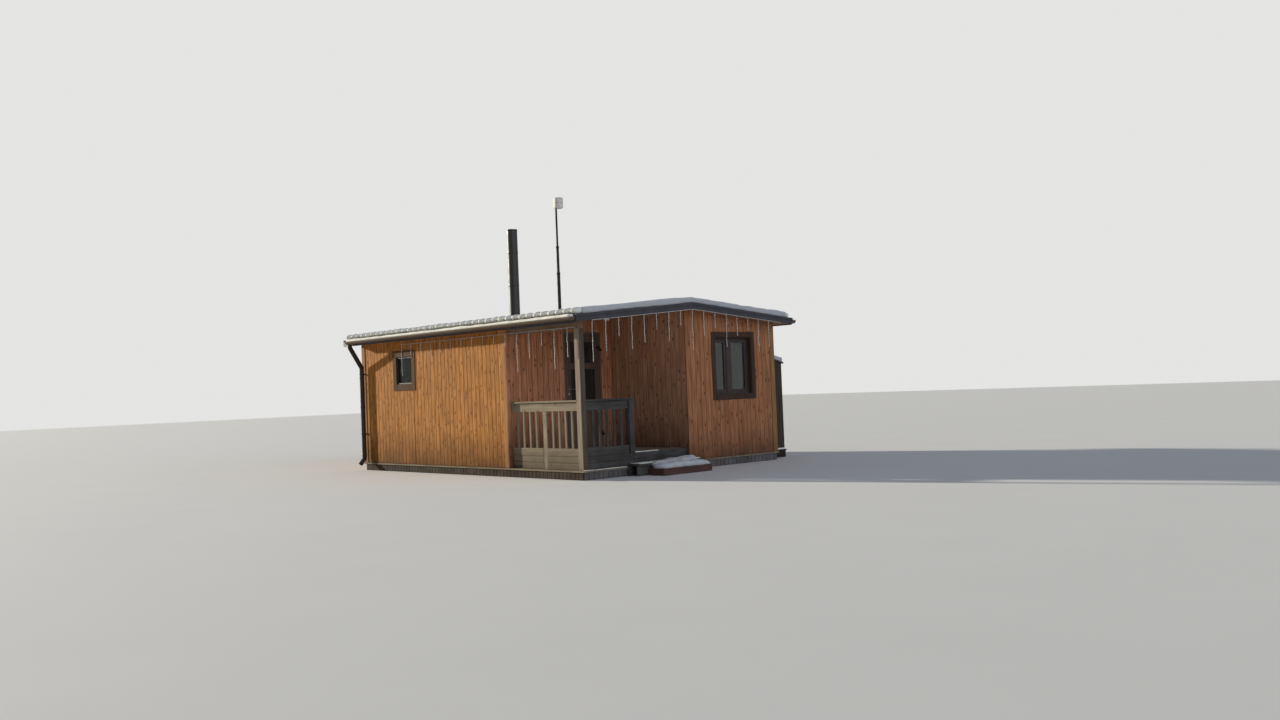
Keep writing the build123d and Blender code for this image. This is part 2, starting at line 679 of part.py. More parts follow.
# Half-round gutters in lengths, with closed ends, each starting at the outlet fitting over its downpipe
gutter_y = EAVE_Y + FASCIA_THICK + GUTTER_RADIUS + SEAT
gutter_z = fascia_top - GUTTER_DROP
pipe_x = PIPE_FROM_CORNER - HALF_LENGTH
gutter_start = pipe_x - OUTLET_FITTING / 2
with BuildPart() as gutter_front:
    with BuildSketch(Plane.YZ.offset(gutter_start)):
        with Locations((-gutter_y, gutter_z)):
            Circle(GUTTER_RADIUS)
        with Locations((-gutter_y, gutter_z + GUTTER_RADIUS)):
            Rectangle(2 * GUTTER_RADIUS, 2 * GUTTER_RADIUS, mode=Mode.SUBTRACT)
    extrude(amount=ROOF_HALF_LENGTH - gutter_start)
    with BuildSketch(Plane.YZ.offset(gutter_start + GUTTER_WALL)):
        with Locations((-gutter_y, gutter_z)):
            Circle(GUTTER_RADIUS - GUTTER_WALL)
    extrude(amount=ROOF_HALF_LENGTH - gutter_start - 2 * GUTTER_WALL, mode=Mode.SUBTRACT)
    with BuildSketch(Plane.XY.offset(gutter_z - GUTTER_RADIUS)):
        with Locations((pipe_x, -gutter_y)):
            Circle(PIPE_RADIUS - PIPE_WALL)
    extrude(amount=GUTTER_RADIUS, mode=Mode.SUBTRACT)
    gutter_joints = [pipe_x + OUTLET_FITTING / 2]
    for index in range(1, GUTTER_LENGTHS):
        gutter_joints.append(index * 2 * ROOF_HALF_LENGTH / GUTTER_LENGTHS - ROOF_HALF_LENGTH)
    for joint_x in gutter_joints:
        with Locations((joint_x, -gutter_y, gutter_z)):
            Box(SEAT, 2 * GUTTER_RADIUS, 2 * GUTTER_RADIUS, mode=Mode.SUBTRACT)
gutter_front.part.label = "gutter_front"

with BuildPart() as gutter_rear:
    add(gutter_front.part.mirror(Plane.XZ))
gutter_rear.part.label = "gutter_rear"

# Downpipe: from the outlet back to the wall on a swan neck, down the corner to a shoe
pipe_y = -HALF_WIDTH - PIPE_OFFSET
pipe_top = gutter_z - GUTTER_RADIUS - SEAT
neck_out = PIPE_RADIUS / 2
clip_reach = PIPE_OFFSET - TRIM_THICK - PIPE_RADIUS + PIPE_WALL
with BuildPart() as downpipe_front:
    with BuildLine() as pipe_line:
        FilletPolyline(
            (pipe_x, -gutter_y, pipe_top),
            (pipe_x, -gutter_y, pipe_top - NECK_STRAIGHT),
            (pipe_x, pipe_y, pipe_top - NECK_DROP),
            (pipe_x, pipe_y, PIPE_FOOT),
            (pipe_x, pipe_y - SHOE_REACH, PIPE_FOOT - SHOE_DROP),
            radius=PIPE_RADIUS + neck_out,
        )
    with BuildSketch(Plane(origin=(pipe_x, -gutter_y, pipe_top), z_dir=(0, 0, -1))):
        Circle(PIPE_RADIUS)
        Circle(PIPE_RADIUS - PIPE_WALL, mode=Mode.SUBTRACT)
    sweep(path=pipe_line.line)
    for height in CLIP_HEIGHTS:
        with Locations((pipe_x, -HALF_WIDTH - TRIM_THICK - clip_reach / 2, height)):
            Box(CLIP_SIZE, clip_reach, CLIP_SIZE)
        with BuildSketch(Plane.XY.offset(height - CLIP_SIZE / 2)):
            with Locations((pipe_x, pipe_y)):
                Circle(PIPE_RADIUS + PIPE_WALL)
                Circle(PIPE_RADIUS - PIPE_WALL / 2, mode=Mode.SUBTRACT)
        extrude(amount=CLIP_SIZE)
downpipe_front.part.label = "downpipe_front"

with BuildPart() as downpipe_rear:
    add(downpipe_front.part.mirror(Plane.XZ))
downpipe_rear.part.label = "downpipe_rear"

# Porch: corner post, eave beam and the two railings
beam_foot = underside(post_front) - BEAM_HEIGHT
with BuildPart() as corner_post:
    board(post_side - POST_WIDTH, post_side, post_front, post_front + POST_DEPTH, WALL_BASE, beam_foot)
    chamfer(corner_post.edges().filter_by(Axis.Z), length=6)
corner_post.part.label = "corner_post"

with BuildPart() as porch_beam:
    with BuildSketch(Plane.YZ.offset(PORCH_X)):
        with BuildLine():
            Polyline(*under_roof(post_front, post_front + POST_DEPTH, beam_foot), close=True)
        make_face()
    extrude(amount=post_side - PORCH_X)
porch_beam.part.label = "porch_beam"

rail_high = RAIL_TOP - RAIL_CAP
rail_low = rail_high - RAIL_HEIGHT
front_end = post_side - POST_WIDTH
front_middle = rail_front + RAIL_BOARD / 2
side_middle = rail_side - RAIL_BOARD / 2
mid_post = PORCH_X + MID_POST_X
front_bays = (
    (PORCH_X, mid_post),
    (mid_post + MID_POST_WIDTH, front_end),
)
with BuildPart() as railing_front:
    board(PORCH_X, front_end, rail_front, rail_front + RAIL_BOARD, rail_low, rail_high)
    board(PORCH_X, front_end, front_middle - RAIL_CAP_WIDTH / 2, front_middle + RAIL_CAP_WIDTH / 2,
          rail_high, RAIL_TOP)
    board(PORCH_X, front_end, rail_front, rail_front + RAIL_BOARD, WALL_BASE, RAIL_PANEL_TOP)
    board(mid_post, mid_post + MID_POST_WIDTH, rail_front, rail_front + RAIL_BOARD, WALL_BASE, rail_high)
    for bay_start, bay_end in front_bays:
        gaps = round((bay_end - bay_start) / BALUSTER_PITCH)
        for index in range(1, gaps):
            middle = bay_start + index * (bay_end - bay_start) / gaps
            board(middle - BALUSTER / 2, middle + BALUSTER / 2, rail_front, rail_front + BALUSTER_THICK,
                  RAIL_PANEL_TOP, rail_low)
railing_front.part.label = "railing_front"

side_start = post_front + POST_DEPTH
side_end = PORCH_Y - ENTRANCE_WIDTH
side_post = side_end - MID_POST_WIDTH
with BuildPart() as railing_side:
    board(rail_side - RAIL_BOARD, rail_side, side_start, side_post, rail_low, rail_high)
    board(side_middle - RAIL_CAP_WIDTH / 2, side_middle + RAIL_CAP_WIDTH / 2, side_start, side_end,
          rail_high, RAIL_TOP)
    board(rail_side - RAIL_BOARD, rail_side, side_start, side_post, WALL_BASE, RAIL_PANEL_TOP)
    board(post_side - MID_POST_WIDTH, post_side, side_post, side_end, DECK_TOP, rail_high)
    board(rail_side - RAIL_BOARD, rail_side, side_post, side_end, WALL_BASE, DECK_TOP)
    gaps = round((side_post - side_start) / BALUSTER_PITCH)
    for index in range(1, gaps):
        middle = side_start + index * (side_post - side_start) / gaps
        board(rail_side - BALUSTER_THICK, rail_side, middle - BALUSTER / 2, middle + BALUSTER / 2,
              RAIL_PANEL_TOP, rail_low)
railing_side.part.label = "railing_side"

# Entrance: a riser under the deck's edge, one step against the ledge and a low platform before it
with BuildPart() as deck_riser:
    board(rail_side - RAIL_BOARD, rail_side, side_end, PORCH_Y, WALL_BASE, DECK_TOP)
deck_riser.part.label = "deck_riser"

step_x = HALF_LENGTH + LEDGE_OUT
step_y0 = PORCH_Y - STEP_LENGTH
with BuildPart() as entrance_step:
    board(step_x, step_x + STEP_DEPTH, step_y0, PORCH_Y, STEP_HEIGHT - STEP_BOARD, STEP_HEIGHT)
    board(step_x + STEP_DEPTH - 2 * STEP_BOARD, step_x + STEP_DEPTH - STEP_BOARD, step_y0, PORCH_Y,
          0, STEP_HEIGHT - STEP_BOARD)
    board(step_x, step_x + STEP_BOARD, step_y0, PORCH_Y, 0, STEP_HEIGHT - STEP_BOARD)
entrance_step.part.label = "entrance_step"

platform_x = step_x + STEP_DEPTH - STEP_BOARD
with BuildPart() as entrance_platform:
    board(platform_x, platform_x + PLATFORM_DEPTH, side_end, side_end + PLATFORM_LENGTH,
          0, PLATFORM_HEIGHT)
    offset(amount=-STEP_BOARD, openings=entrance_platform.faces().sort_by(Axis.Z)[0])
entrance_platform.part.label = "entrance_platform"

lamp_x = PORCH_X + LAMP_FROM_DOOR_WALL
lamp_y = PORCH_Y - LAMP_FROM_BACK_WALL
lamp_top = underside(abs(lamp_y) + LAMP_RADIUS)
with BuildPart() as porch_lamp:
    with BuildSketch(Plane.XY.offset(lamp_top)):
        with Locations((lamp_x, lamp_y)):
            Circle(LAMP_RADIUS)
    extrude(amount=-LAMP_HEIGHT)
    fillet(porch_lamp.faces().sort_by(Axis.Z)[0].edges(), radius=LAMP_HEIGHT / 2)
porch_lamp.part.label = "porch_lamp"

# Flue: an insulated pipe through the rear slope, with a flashing cone on the roofing
roof_at_flue = deck_top(flue_y) + SHEET_RISE
with BuildPart() as flue_pipe:
    with BuildSketch(Plane.XY.offset(underside(flue_y) - FLUE_BELOW)):
        with Locations((flue_x, flue_y)):
            Circle(FLUE_RADIUS)
            Circle(FLUE_BORE, mode=Mode.SUBTRACT)
    extrude(amount=FLUE_TOP - underside(flue_y) + FLUE_BELOW)
flue_pipe.part.label = "flue_pipe"

cone_foot = roof_at_flue + (FLUE_RADIUS + COLLAR_SPREAD) * SLOPE
with BuildPart() as flue_flashing:
    with BuildSketch(Plane.XZ.offset(-flue_y)):
        with BuildLine():
            Polyline(
                (flue_x + FLUE_RADIUS + SEAT, cone_foot),
                (flue_x + FLUE_RADIUS + COLLAR_SPREAD, cone_foot),
                (flue_x + FLUE_RADIUS + COLLAR_WALL, cone_foot + COLLAR_HEIGHT),
                (flue_x + FLUE_RADIUS + SEAT, cone_foot + COLLAR_HEIGHT),
                close=True,
            )
        make_face()
    revolve(axis=Axis((flue_x, flue_y, 0), (0, 0, 1)))
flue_flashing.part.label = "flue_flashing"

# Snow on both slopes, melted back round the flue and the mast
snow_foot = SHEET_RISE + SEAT
snow_top = SHEET_RISE + SNOW_DEPTH
cap_top = crest + RIDGE_CAP_THICK + SEAT
cap_reach = RIDGE_CAP_REACH + SEAT
snow_y = EAVE_Y + SNOW_PAST_EAVE
snow_x = ROOF_HALF_LENGTH + VERGE_BOARD - SNOW_SETBACK
with BuildPart() as roof_snow:
    with BuildSketch(Plane.YZ.offset(-snow_x)):
        with BuildLine():
            Polyline(
                (-snow_y, deck_top(snow_y) + snow_foot),
                (-cap_reach, deck_top(cap_reach) + snow_foot),
                (-cap_reach, deck_top(cap_reach) + cap_top),
                (0, deck_top(0) + cap_top),
                (cap_reach, deck_top(cap_reach) + cap_top),
                (cap_reach, deck_top(cap_reach) + snow_foot),
                (snow_y, deck_top(snow_y) + snow_foot),
                (snow_y, deck_top(snow_y) + snow_top - SNOW_EDGE),
                (snow_y - SNOW_EDGE, deck_top(snow_y - SNOW_EDGE) + snow_top),
                (0, deck_top(0) + snow_top),
                (SNOW_EDGE - snow_y, deck_top(snow_y - SNOW_EDGE) + snow_top),
                (-snow_y, deck_top(snow_y) + snow_top - SNOW_EDGE),
                close=True,
            )
        make_face()
    extrude(amount=2 * snow_x)
    with BuildSketch(Plane.XY.offset(RIDGE_UNDERSIDE - EAVE_Y)):
        with Locations((flue_x, flue_y)):
            Circle(MELT_RADIUS)
        with Locations((mast_x, mast_y)):
            Circle(MAST_MELT)
    extrude(amount=2 * EAVE_Y, mode=Mode.SUBTRACT)
roof_snow.part.label = "roof_snow"

# Mast: a stepped tube on two wall brackets, through the rear eave, with a capped head
with BuildPart() as mast:
    with BuildSketch(Plane.XY.offset(MAST_FOOT)):
        with Locations((mast_x, mast_y)):
            Circle(MAST_RADIUS)
    extrude(amount=MAST_STEP - MAST_FOOT)
    with BuildSketch(Plane.XY.offset(MAST_STEP)):
        with Locations((mast_x, mast_y)):
            Circle(MAST_TIP_RADIUS)
    extrude(amount=MAST_TOP - MAST_STEP)
mast.part.label = "mast"

with BuildPart() as mast_brackets:
    for height in MAST_BRACKETS:
        board(mast_x - BRACKET_SIZE / 2, mast_x + BRACKET_SIZE / 2, HALF_WIDTH, mast_y,
              height - BRACKET_SIZE / 2, height + BRACKET_SIZE / 2)
        board(mast_x - 2 * BRACKET_SIZE, mast_x + 2 * BRACKET_SIZE, HALF_WIDTH, HALF_WIDTH + STRAP_THICK,
              height - BRACKET_SIZE, height + BRACKET_SIZE)
        with BuildSketch(Plane.XY.offset(height - BRACKET_SIZE / 2)):
            with Locations((mast_x, mast_y)):
                Circle(MAST_RADIUS + STRAP_THICK)
        extrude(amount=BRACKET_SIZE)
    with BuildSketch(Plane.XY.offset(MAST_FOOT)):
        with Locations((mast_x, mast_y)):
            Circle(MAST_RADIUS + SEAT)
    extrude(amount=MAST_STEP - MAST_FOOT, mode=Mode.SUBTRACT)
mast_brackets.part.label = "mast_brackets"

with BuildPart() as mast_head:
    with BuildSketch(Plane.XY.offset(MAST_TOP)):
        with Locations((mast_x + HEAD_OFFSET, mast_y + HEAD_OFFSET)):
            Circle(HEAD_RADIUS)
    extrude(amount=HEAD_HEIGHT)
    fillet(mast_head.edges().filter_by(GeomType.CIRCLE), radius=HEAD_EDGE)
mast_head.part.label = "mast_head"

# Rear cupboard: a shell of boards under a sloping lid, against the ledge
cupboard_x = CUPBOARD_START - HALF_LENGTH
cupboard_y = HALF_WIDTH + LEDGE_OUT
cupboard_depth = CUPBOARD_DEPTH - LEDGE_OUT
lid_slope = CUPBOARD_FALL / CUPBOARD_DEPTH
with BuildPart() as rear_cupboard:
    with BuildSketch(Plane.YZ.offset(cupboard_x)):
        with BuildLine():
            Polyline(
                (cupboard_y, 0),
                (cupboard_y + cupboard_depth, 0),
                (cupboard_y + cupboard_depth, CUPBOARD_HEIGHT - CUPBOARD_FALL),
                (cupboard_y, CUPBOARD_HEIGHT - LEDGE_OUT * lid_slope),
                close=True,
            )
        make_face()
    extrude(amount=CUPBOARD_LENGTH)
    offset(amount=-CUPBOARD_WALL, openings=rear_cupboard.faces().sort_by(Axis.Z)[0])
rear_cupboard.part.label = "rear_cupboard"

lid_reach = CUPBOARD_DEPTH + LID_OVERHANG
with BuildPart() as cupboard_lid:
    with BuildSketch(Plane.YZ.offset(cupboard_x - LID_OVERHANG)):
        with BuildLine():
            Polyline(
                (HALF_WIDTH, CUPBOARD_HEIGHT),
                (HALF_WIDTH, CUPBOARD_HEIGHT + LID_THICK),
                (HALF_WIDTH + lid_reach, CUPBOARD_HEIGHT + LID_THICK - lid_reach * lid_slope),
                (HALF_WIDTH + lid_reach, CUPBOARD_HEIGHT - lid_reach * lid_slope),
                close=True,
            )
        make_face()
    extrude(amount=CUPBOARD_LENGTH + 2 * LID_OVERHANG)
cupboard_lid.part.label = "cupboard_lid"

# String of lights: a cable along the front wall and porch beam, and one under the gable's verge board
front_cable_y = HALF_WIDTH + TRIM_THICK + SEAT + CABLE_SIZE / 2
cable_x0 = FRONT_DROP_FIRST - HALF_LENGTH - CABLE_SIZE
verge_x = ROOF_HALF_LENGTH + VERGE_BOARD / 2
cable_y = HALF_WIDTH - GABLE_DROP_FIRST + CABLE_SIZE
with BuildPart() as light_cable:
    board(cable_x0, post_side, -front_cable_y - CABLE_SIZE / 2, -front_cable_y + CABLE_SIZE / 2,
          FRONT_CABLE_TOP - CABLE_SIZE, FRONT_CABLE_TOP)
    with BuildSketch(Plane.YZ.offset(verge_x - CABLE_SIZE / 2)):
        with BuildLine():
            Polyline(
                (-cable_y, underside(cable_y) - VERGE_DROP),
                (0, underside(0) - VERGE_DROP),
                (cable_y, underside(cable_y) - VERGE_DROP),
                (cable_y, underside(cable_y) - VERGE_DROP - CABLE_SIZE),
                (0, underside(0) - VERGE_DROP - CABLE_SIZE),
                (-cable_y, underside(cable_y) - VERGE_DROP - CABLE_SIZE),
                close=True,
            )
        make_face()
    extrude(amount=CABLE_SIZE)
light_cable.part.label = "light_cable"

with BuildPart() as light_drops_front:
    for index, length in enumerate(FRONT_DROPS):
        drop_x = FRONT_DROP_FIRST + index * FRONT_DROP_PITCH - HALF_LENGTH
        with Locations((drop_x, -front_cable_y, FRONT_CABLE_TOP - CABLE_SIZE - length / 2)):
            Cylinder(DROP_RADIUS, length)
light_drops_front.part.label = "light_drops_front"

with BuildPart() as light_drops_gable:
    for index, length in enumerate(GABLE_DROPS):
        drop_y = GABLE_DROP_FIRST + index * GABLE_DROP_PITCH - HALF_WIDTH
        hang_z = underside(abs(drop_y) + DROP_RADIUS) - VERGE_DROP - CABLE_SIZE
        with Locations((verge_x, drop_y, hang_z - length / 2)):
            Cylinder(DROP_RADIUS, length)
light_drops_gable.part.label = "light_drops_gable"

PIECES = (
    bearers, skirt, base_ledge, floor_joists, floor_boards, deck_boards,
    front_wall, rear_wall, left_wall, gable_wall, porch_back_wall,
    porch_wall_front, porch_wall_rear, porch_wall_head, corner_boards,
    front_window_trim, front_window_frame, front_window_glass,
    gable_window_trim, gable_window_frame, gable_window_glass,
    door_frame, door_leaf, door_glass, hinge_pins, hinge_knuckles, door_handle,
    roof_deck_front, roof_deck_rear, roof_sheet_front, roof_sheet_rear, ridge_cap,
    verge_boards, eave_boards, gutter_front, gutter_rear, downpipe_front, downpipe_rear,
    corner_post, porch_beam, railing_front, railing_side, deck_riser,
    entrance_step, entrance_platform, porch_lamp, flue_pipe, flue_flashing, roof_snow,
    mast, mast_brackets, mast_head, rear_cupboard, cupboard_lid,
    light_cable, light_drops_front, light_drops_gable,
)
for piece in PIECES:
    export_step(piece.part, f"parts/{piece.part.label}.step")
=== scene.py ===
from math import cos, radians, sin, tan

import bpy
from mathutils import Matrix, Vector


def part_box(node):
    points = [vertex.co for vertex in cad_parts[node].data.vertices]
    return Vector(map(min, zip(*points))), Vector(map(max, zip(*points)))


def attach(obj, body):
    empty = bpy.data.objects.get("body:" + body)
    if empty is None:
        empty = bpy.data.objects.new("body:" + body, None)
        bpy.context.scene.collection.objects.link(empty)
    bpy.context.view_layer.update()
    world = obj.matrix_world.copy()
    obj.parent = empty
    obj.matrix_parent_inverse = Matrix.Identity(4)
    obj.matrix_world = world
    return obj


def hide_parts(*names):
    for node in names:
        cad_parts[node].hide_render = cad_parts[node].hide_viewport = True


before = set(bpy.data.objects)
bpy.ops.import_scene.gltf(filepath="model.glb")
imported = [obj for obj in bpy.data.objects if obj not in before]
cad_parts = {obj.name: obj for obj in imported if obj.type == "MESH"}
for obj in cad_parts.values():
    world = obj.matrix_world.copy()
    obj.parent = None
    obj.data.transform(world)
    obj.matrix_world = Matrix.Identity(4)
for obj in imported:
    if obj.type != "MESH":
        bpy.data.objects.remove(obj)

bl_info = {
    "name": "Off-grid cabin",
    "version": (1, 0, 0),
    "blender": (4, 5, 0),
    "location": "3D View > Sidebar > Cabin",
    "description": "Dresses the packed timber cabin with boards, joinery, metalwork and snow",
    "category": "Object",
}

CABIN, DOOR = "cabin", "door"

# Slopes, and lengths in metres that several pieces share
SLOPE = tan(radians(5.2))
LID_SLOPE = 0.150 / 0.600
HIDDEN = 0.008
JOINT = 0.0005
CLEAR = 0.0105
CORNER_END = 0.0955
PORCH_FRONT = -2.2085
OVER_ROOF = 3.0

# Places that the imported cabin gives, in metres
HALF_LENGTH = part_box("gable_wall")[1].x
HALF_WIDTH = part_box("rear_wall")[1].y
WALL_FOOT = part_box("front_wall")[0].z
PORCH_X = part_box("porch_wall_front")[1].x
PORCH_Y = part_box("gable_wall")[0].y
DECK_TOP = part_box("deck_boards")[1].z
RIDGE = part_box("roof_deck_front")[1].z - 0.080
ROOF_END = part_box("roof_deck_front")[1].x
EAVE = -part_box("roof_deck_front")[0].y
VERGE_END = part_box("verge_boards")[1].x
GUTTER_Y = (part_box("gutter_rear")[0].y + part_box("gutter_rear")[1].y) / 2
GUTTER_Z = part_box("gutter_rear")[1].z
BOARD_FOOT = WALL_FOOT + 0.002


def underside(y):
    """Height of the roof deck's underside over a point across the house."""
    return RIDGE - abs(y) * SLOPE


def linear(code):
    """Turn an sRGB hex colour into the linear colour that a shader takes."""
    shares = [int(code[at:at + 2], 16) / 255 for at in (1, 3, 5)]
    return [c / 12.92 if c <= 0.04045 else ((c + 0.055) / 1.055) ** 2.4 for c in shares] + [1.0]


def tinted(tint, red, green, blue):
    """A linear colour with its three parts made stronger or weaker."""
    return [min(1, part * share) for part, share in zip(tint, (red, green, blue))] + [1.0]


def colour(name, about, code):
    """One colour that a user may change."""
    return bpy.props.FloatVectorProperty(
        name=name, description=about, subtype="COLOR", size=4, min=0, max=1, default=linear(code))


def length(name, about, value):
    """One length that a user may change."""
    return bpy.props.FloatProperty(
        name=name, description=about, subtype="DISTANCE", unit="LENGTH", min=0.0002, default=value)


class CabinSizes(bpy.types.PropertyGroup):
    """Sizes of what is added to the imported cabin."""

    board: length("Cladding board", "Width that one tongue and groove board covers", 0.114)
    board_out: length("Board thickness", "How far the boards stand out of the wall", 0.010)
    groove: length("Groove", "Chamfer on the edges of a cladding board", 0.0055)
    eased: length("Eased edge", "Chamfer on the edges of planks and trim", 0.003)
    slat: length("Skirt slat", "Spacing of the upright slats on the skirt", 0.098)
    deck_board: length("Deck board", "Spacing of the porch deck boards", 0.124)
    snow: length("Snow depth", "Depth of the snow on the roof", 0.100)
    drop: length("Drop diameter", "Diameter of one hanging string of lights", 0.008)
    bead: length("Lamp bead", "Diameter of one small lamp on a string", 0.017)


class CabinColours(bpy.types.PropertyGroup):
    """Colours of the finishes, as they look in even light."""

    front: colour("Front cladding", "Orange tan stain on the sunny front", "#B68047")
    gable: colour("Gable cladding", "Brown stain on the gable, rear and left walls", "#B07C5A")
    # Both porch colours are lighter than the gable's: painted light that makes up for the shade under the
    # porch roof.
    porch: colour("Porch cladding", "Reddish stain on the wall with the door", "#C88E6B")
    porch_back: colour("Porch back wall", "Dark stain on the wall behind the porch", "#BE9478")
    beam: colour("Porch beam", "Greyed stain on the beam over the railing", "#8D7B6B")
    corner: colour("Corner boards", "Stain on the corner boards", "#A87E57")
    weathered: colour("Weathered boards", "Grey boards of the front railing and the deck", "#968D7E")
    post: colour("Corner post", "Paler weathered wood of the corner post", "#A4988A")
    window: colour("Window boards", "Brown weathered boards round the front window", "#624A34")
    shaded: colour("Dark weathered boards", "Boards of the side railing and step", "#585757")
    joinery: colour("Joinery", "Dark brown stain on the windows", "#52433B")
    door: colour("Door", "Brown stain on the door and its frame", "#6C594E")
    platform: colour("Platform boards", "Reddish brown boards of the platform", "#66504A")
    fascia: colour("Fascia", "Dark grey paint on the verge and eave boards", "#3C3B3F")
    gutter: colour("Gutter", "Brown coating on the gutters", "#5A483A")
    downpipe: colour("Downpipe", "Dark brown coating on the downpipes", "#30241D")
    roofing: colour("Roofing", "Dark coating on the profiled sheets", "#45403D")
    flue: colour("Flue", "Dark grey enamel on the flue", "#171511")
    mast: colour("Mast", "Dark coating on the mast", "#1C1815")
    skirt: colour("Skirt", "Brown stain on the slats of the long sides", "#3E3730")
    skirt_end: colour("End skirt", "Greyer stain on the slats of the short sides", "#676565")
    ledge: colour("Ledge", "Grey weathered board over the slats", "#918877")
    raw: colour("Raw timber", "Sawn spruce under the floor and inside", "#A98E6A")
    cupboard: colour("Cupboard", "Dark stain on the cupboard behind the house", "#504A43")
    snow: colour("Snow", "Snow lying on the eaves and steps", "#F6F2E3")
    # A greyer copy of the snow colour: painted shade for the snow on the roof, the platform and the cupboard
    # lid.
    roof_snow: colour("Roof snow", "Older snow over the roof, greyer at its cut sides", "#E0DFDC")


def add(tree, kind, inputs=None, **settings):
    """Add a shader node, set it up, give its inputs numbers, colours or links, and return its outputs."""
    made = tree.nodes.new("ShaderNode" + kind)
    for key, value in settings.items():
        setattr(made, key, value)
    for key, value in (inputs or {}).items():
        if isinstance(value, bpy.types.NodeSocket):
            tree.links.new(value, made.inputs[key])
        else:
            made.inputs[key].default_value = value
    return made.outputs


def material(name, values):
    """A new material with its shader's constant values, its node tree and its Object coordinates."""
    made = bpy.data.materials.new(name)
    made.use_nodes = True
    tree = made.node_tree
    for key, value in values.items():
        tree.nodes["Principled BSDF"].inputs[key].default_value = value
    return made, tree, add(tree, "TexCoord")["Object"]


def finished(made, base, layers, bump=None, sheen=None):
    """Lay colours over a material's base and link them, its relief and its sheen to the shader.
    A layer is a pattern, the two levels of it that count, its strength at each, and its colour."""
    tree = made.node_tree
    for pattern, low, high, least, most, tone in layers:
        share = add(tree, "MapRange", {0: pattern, 1: low, 2: high, 3: least, 4: most})[0]
        base = add(tree, "Mix", {0: share, 6: base, 7: tone}, data_type="RGBA")[2]
    shader = tree.nodes["Principled BSDF"]
    for key, output in (("Base Color", base), ("Normal", bump), ("Roughness", sheen)):
        if output is not None:
            tree.links.new(output, shader.inputs[key])
    return made


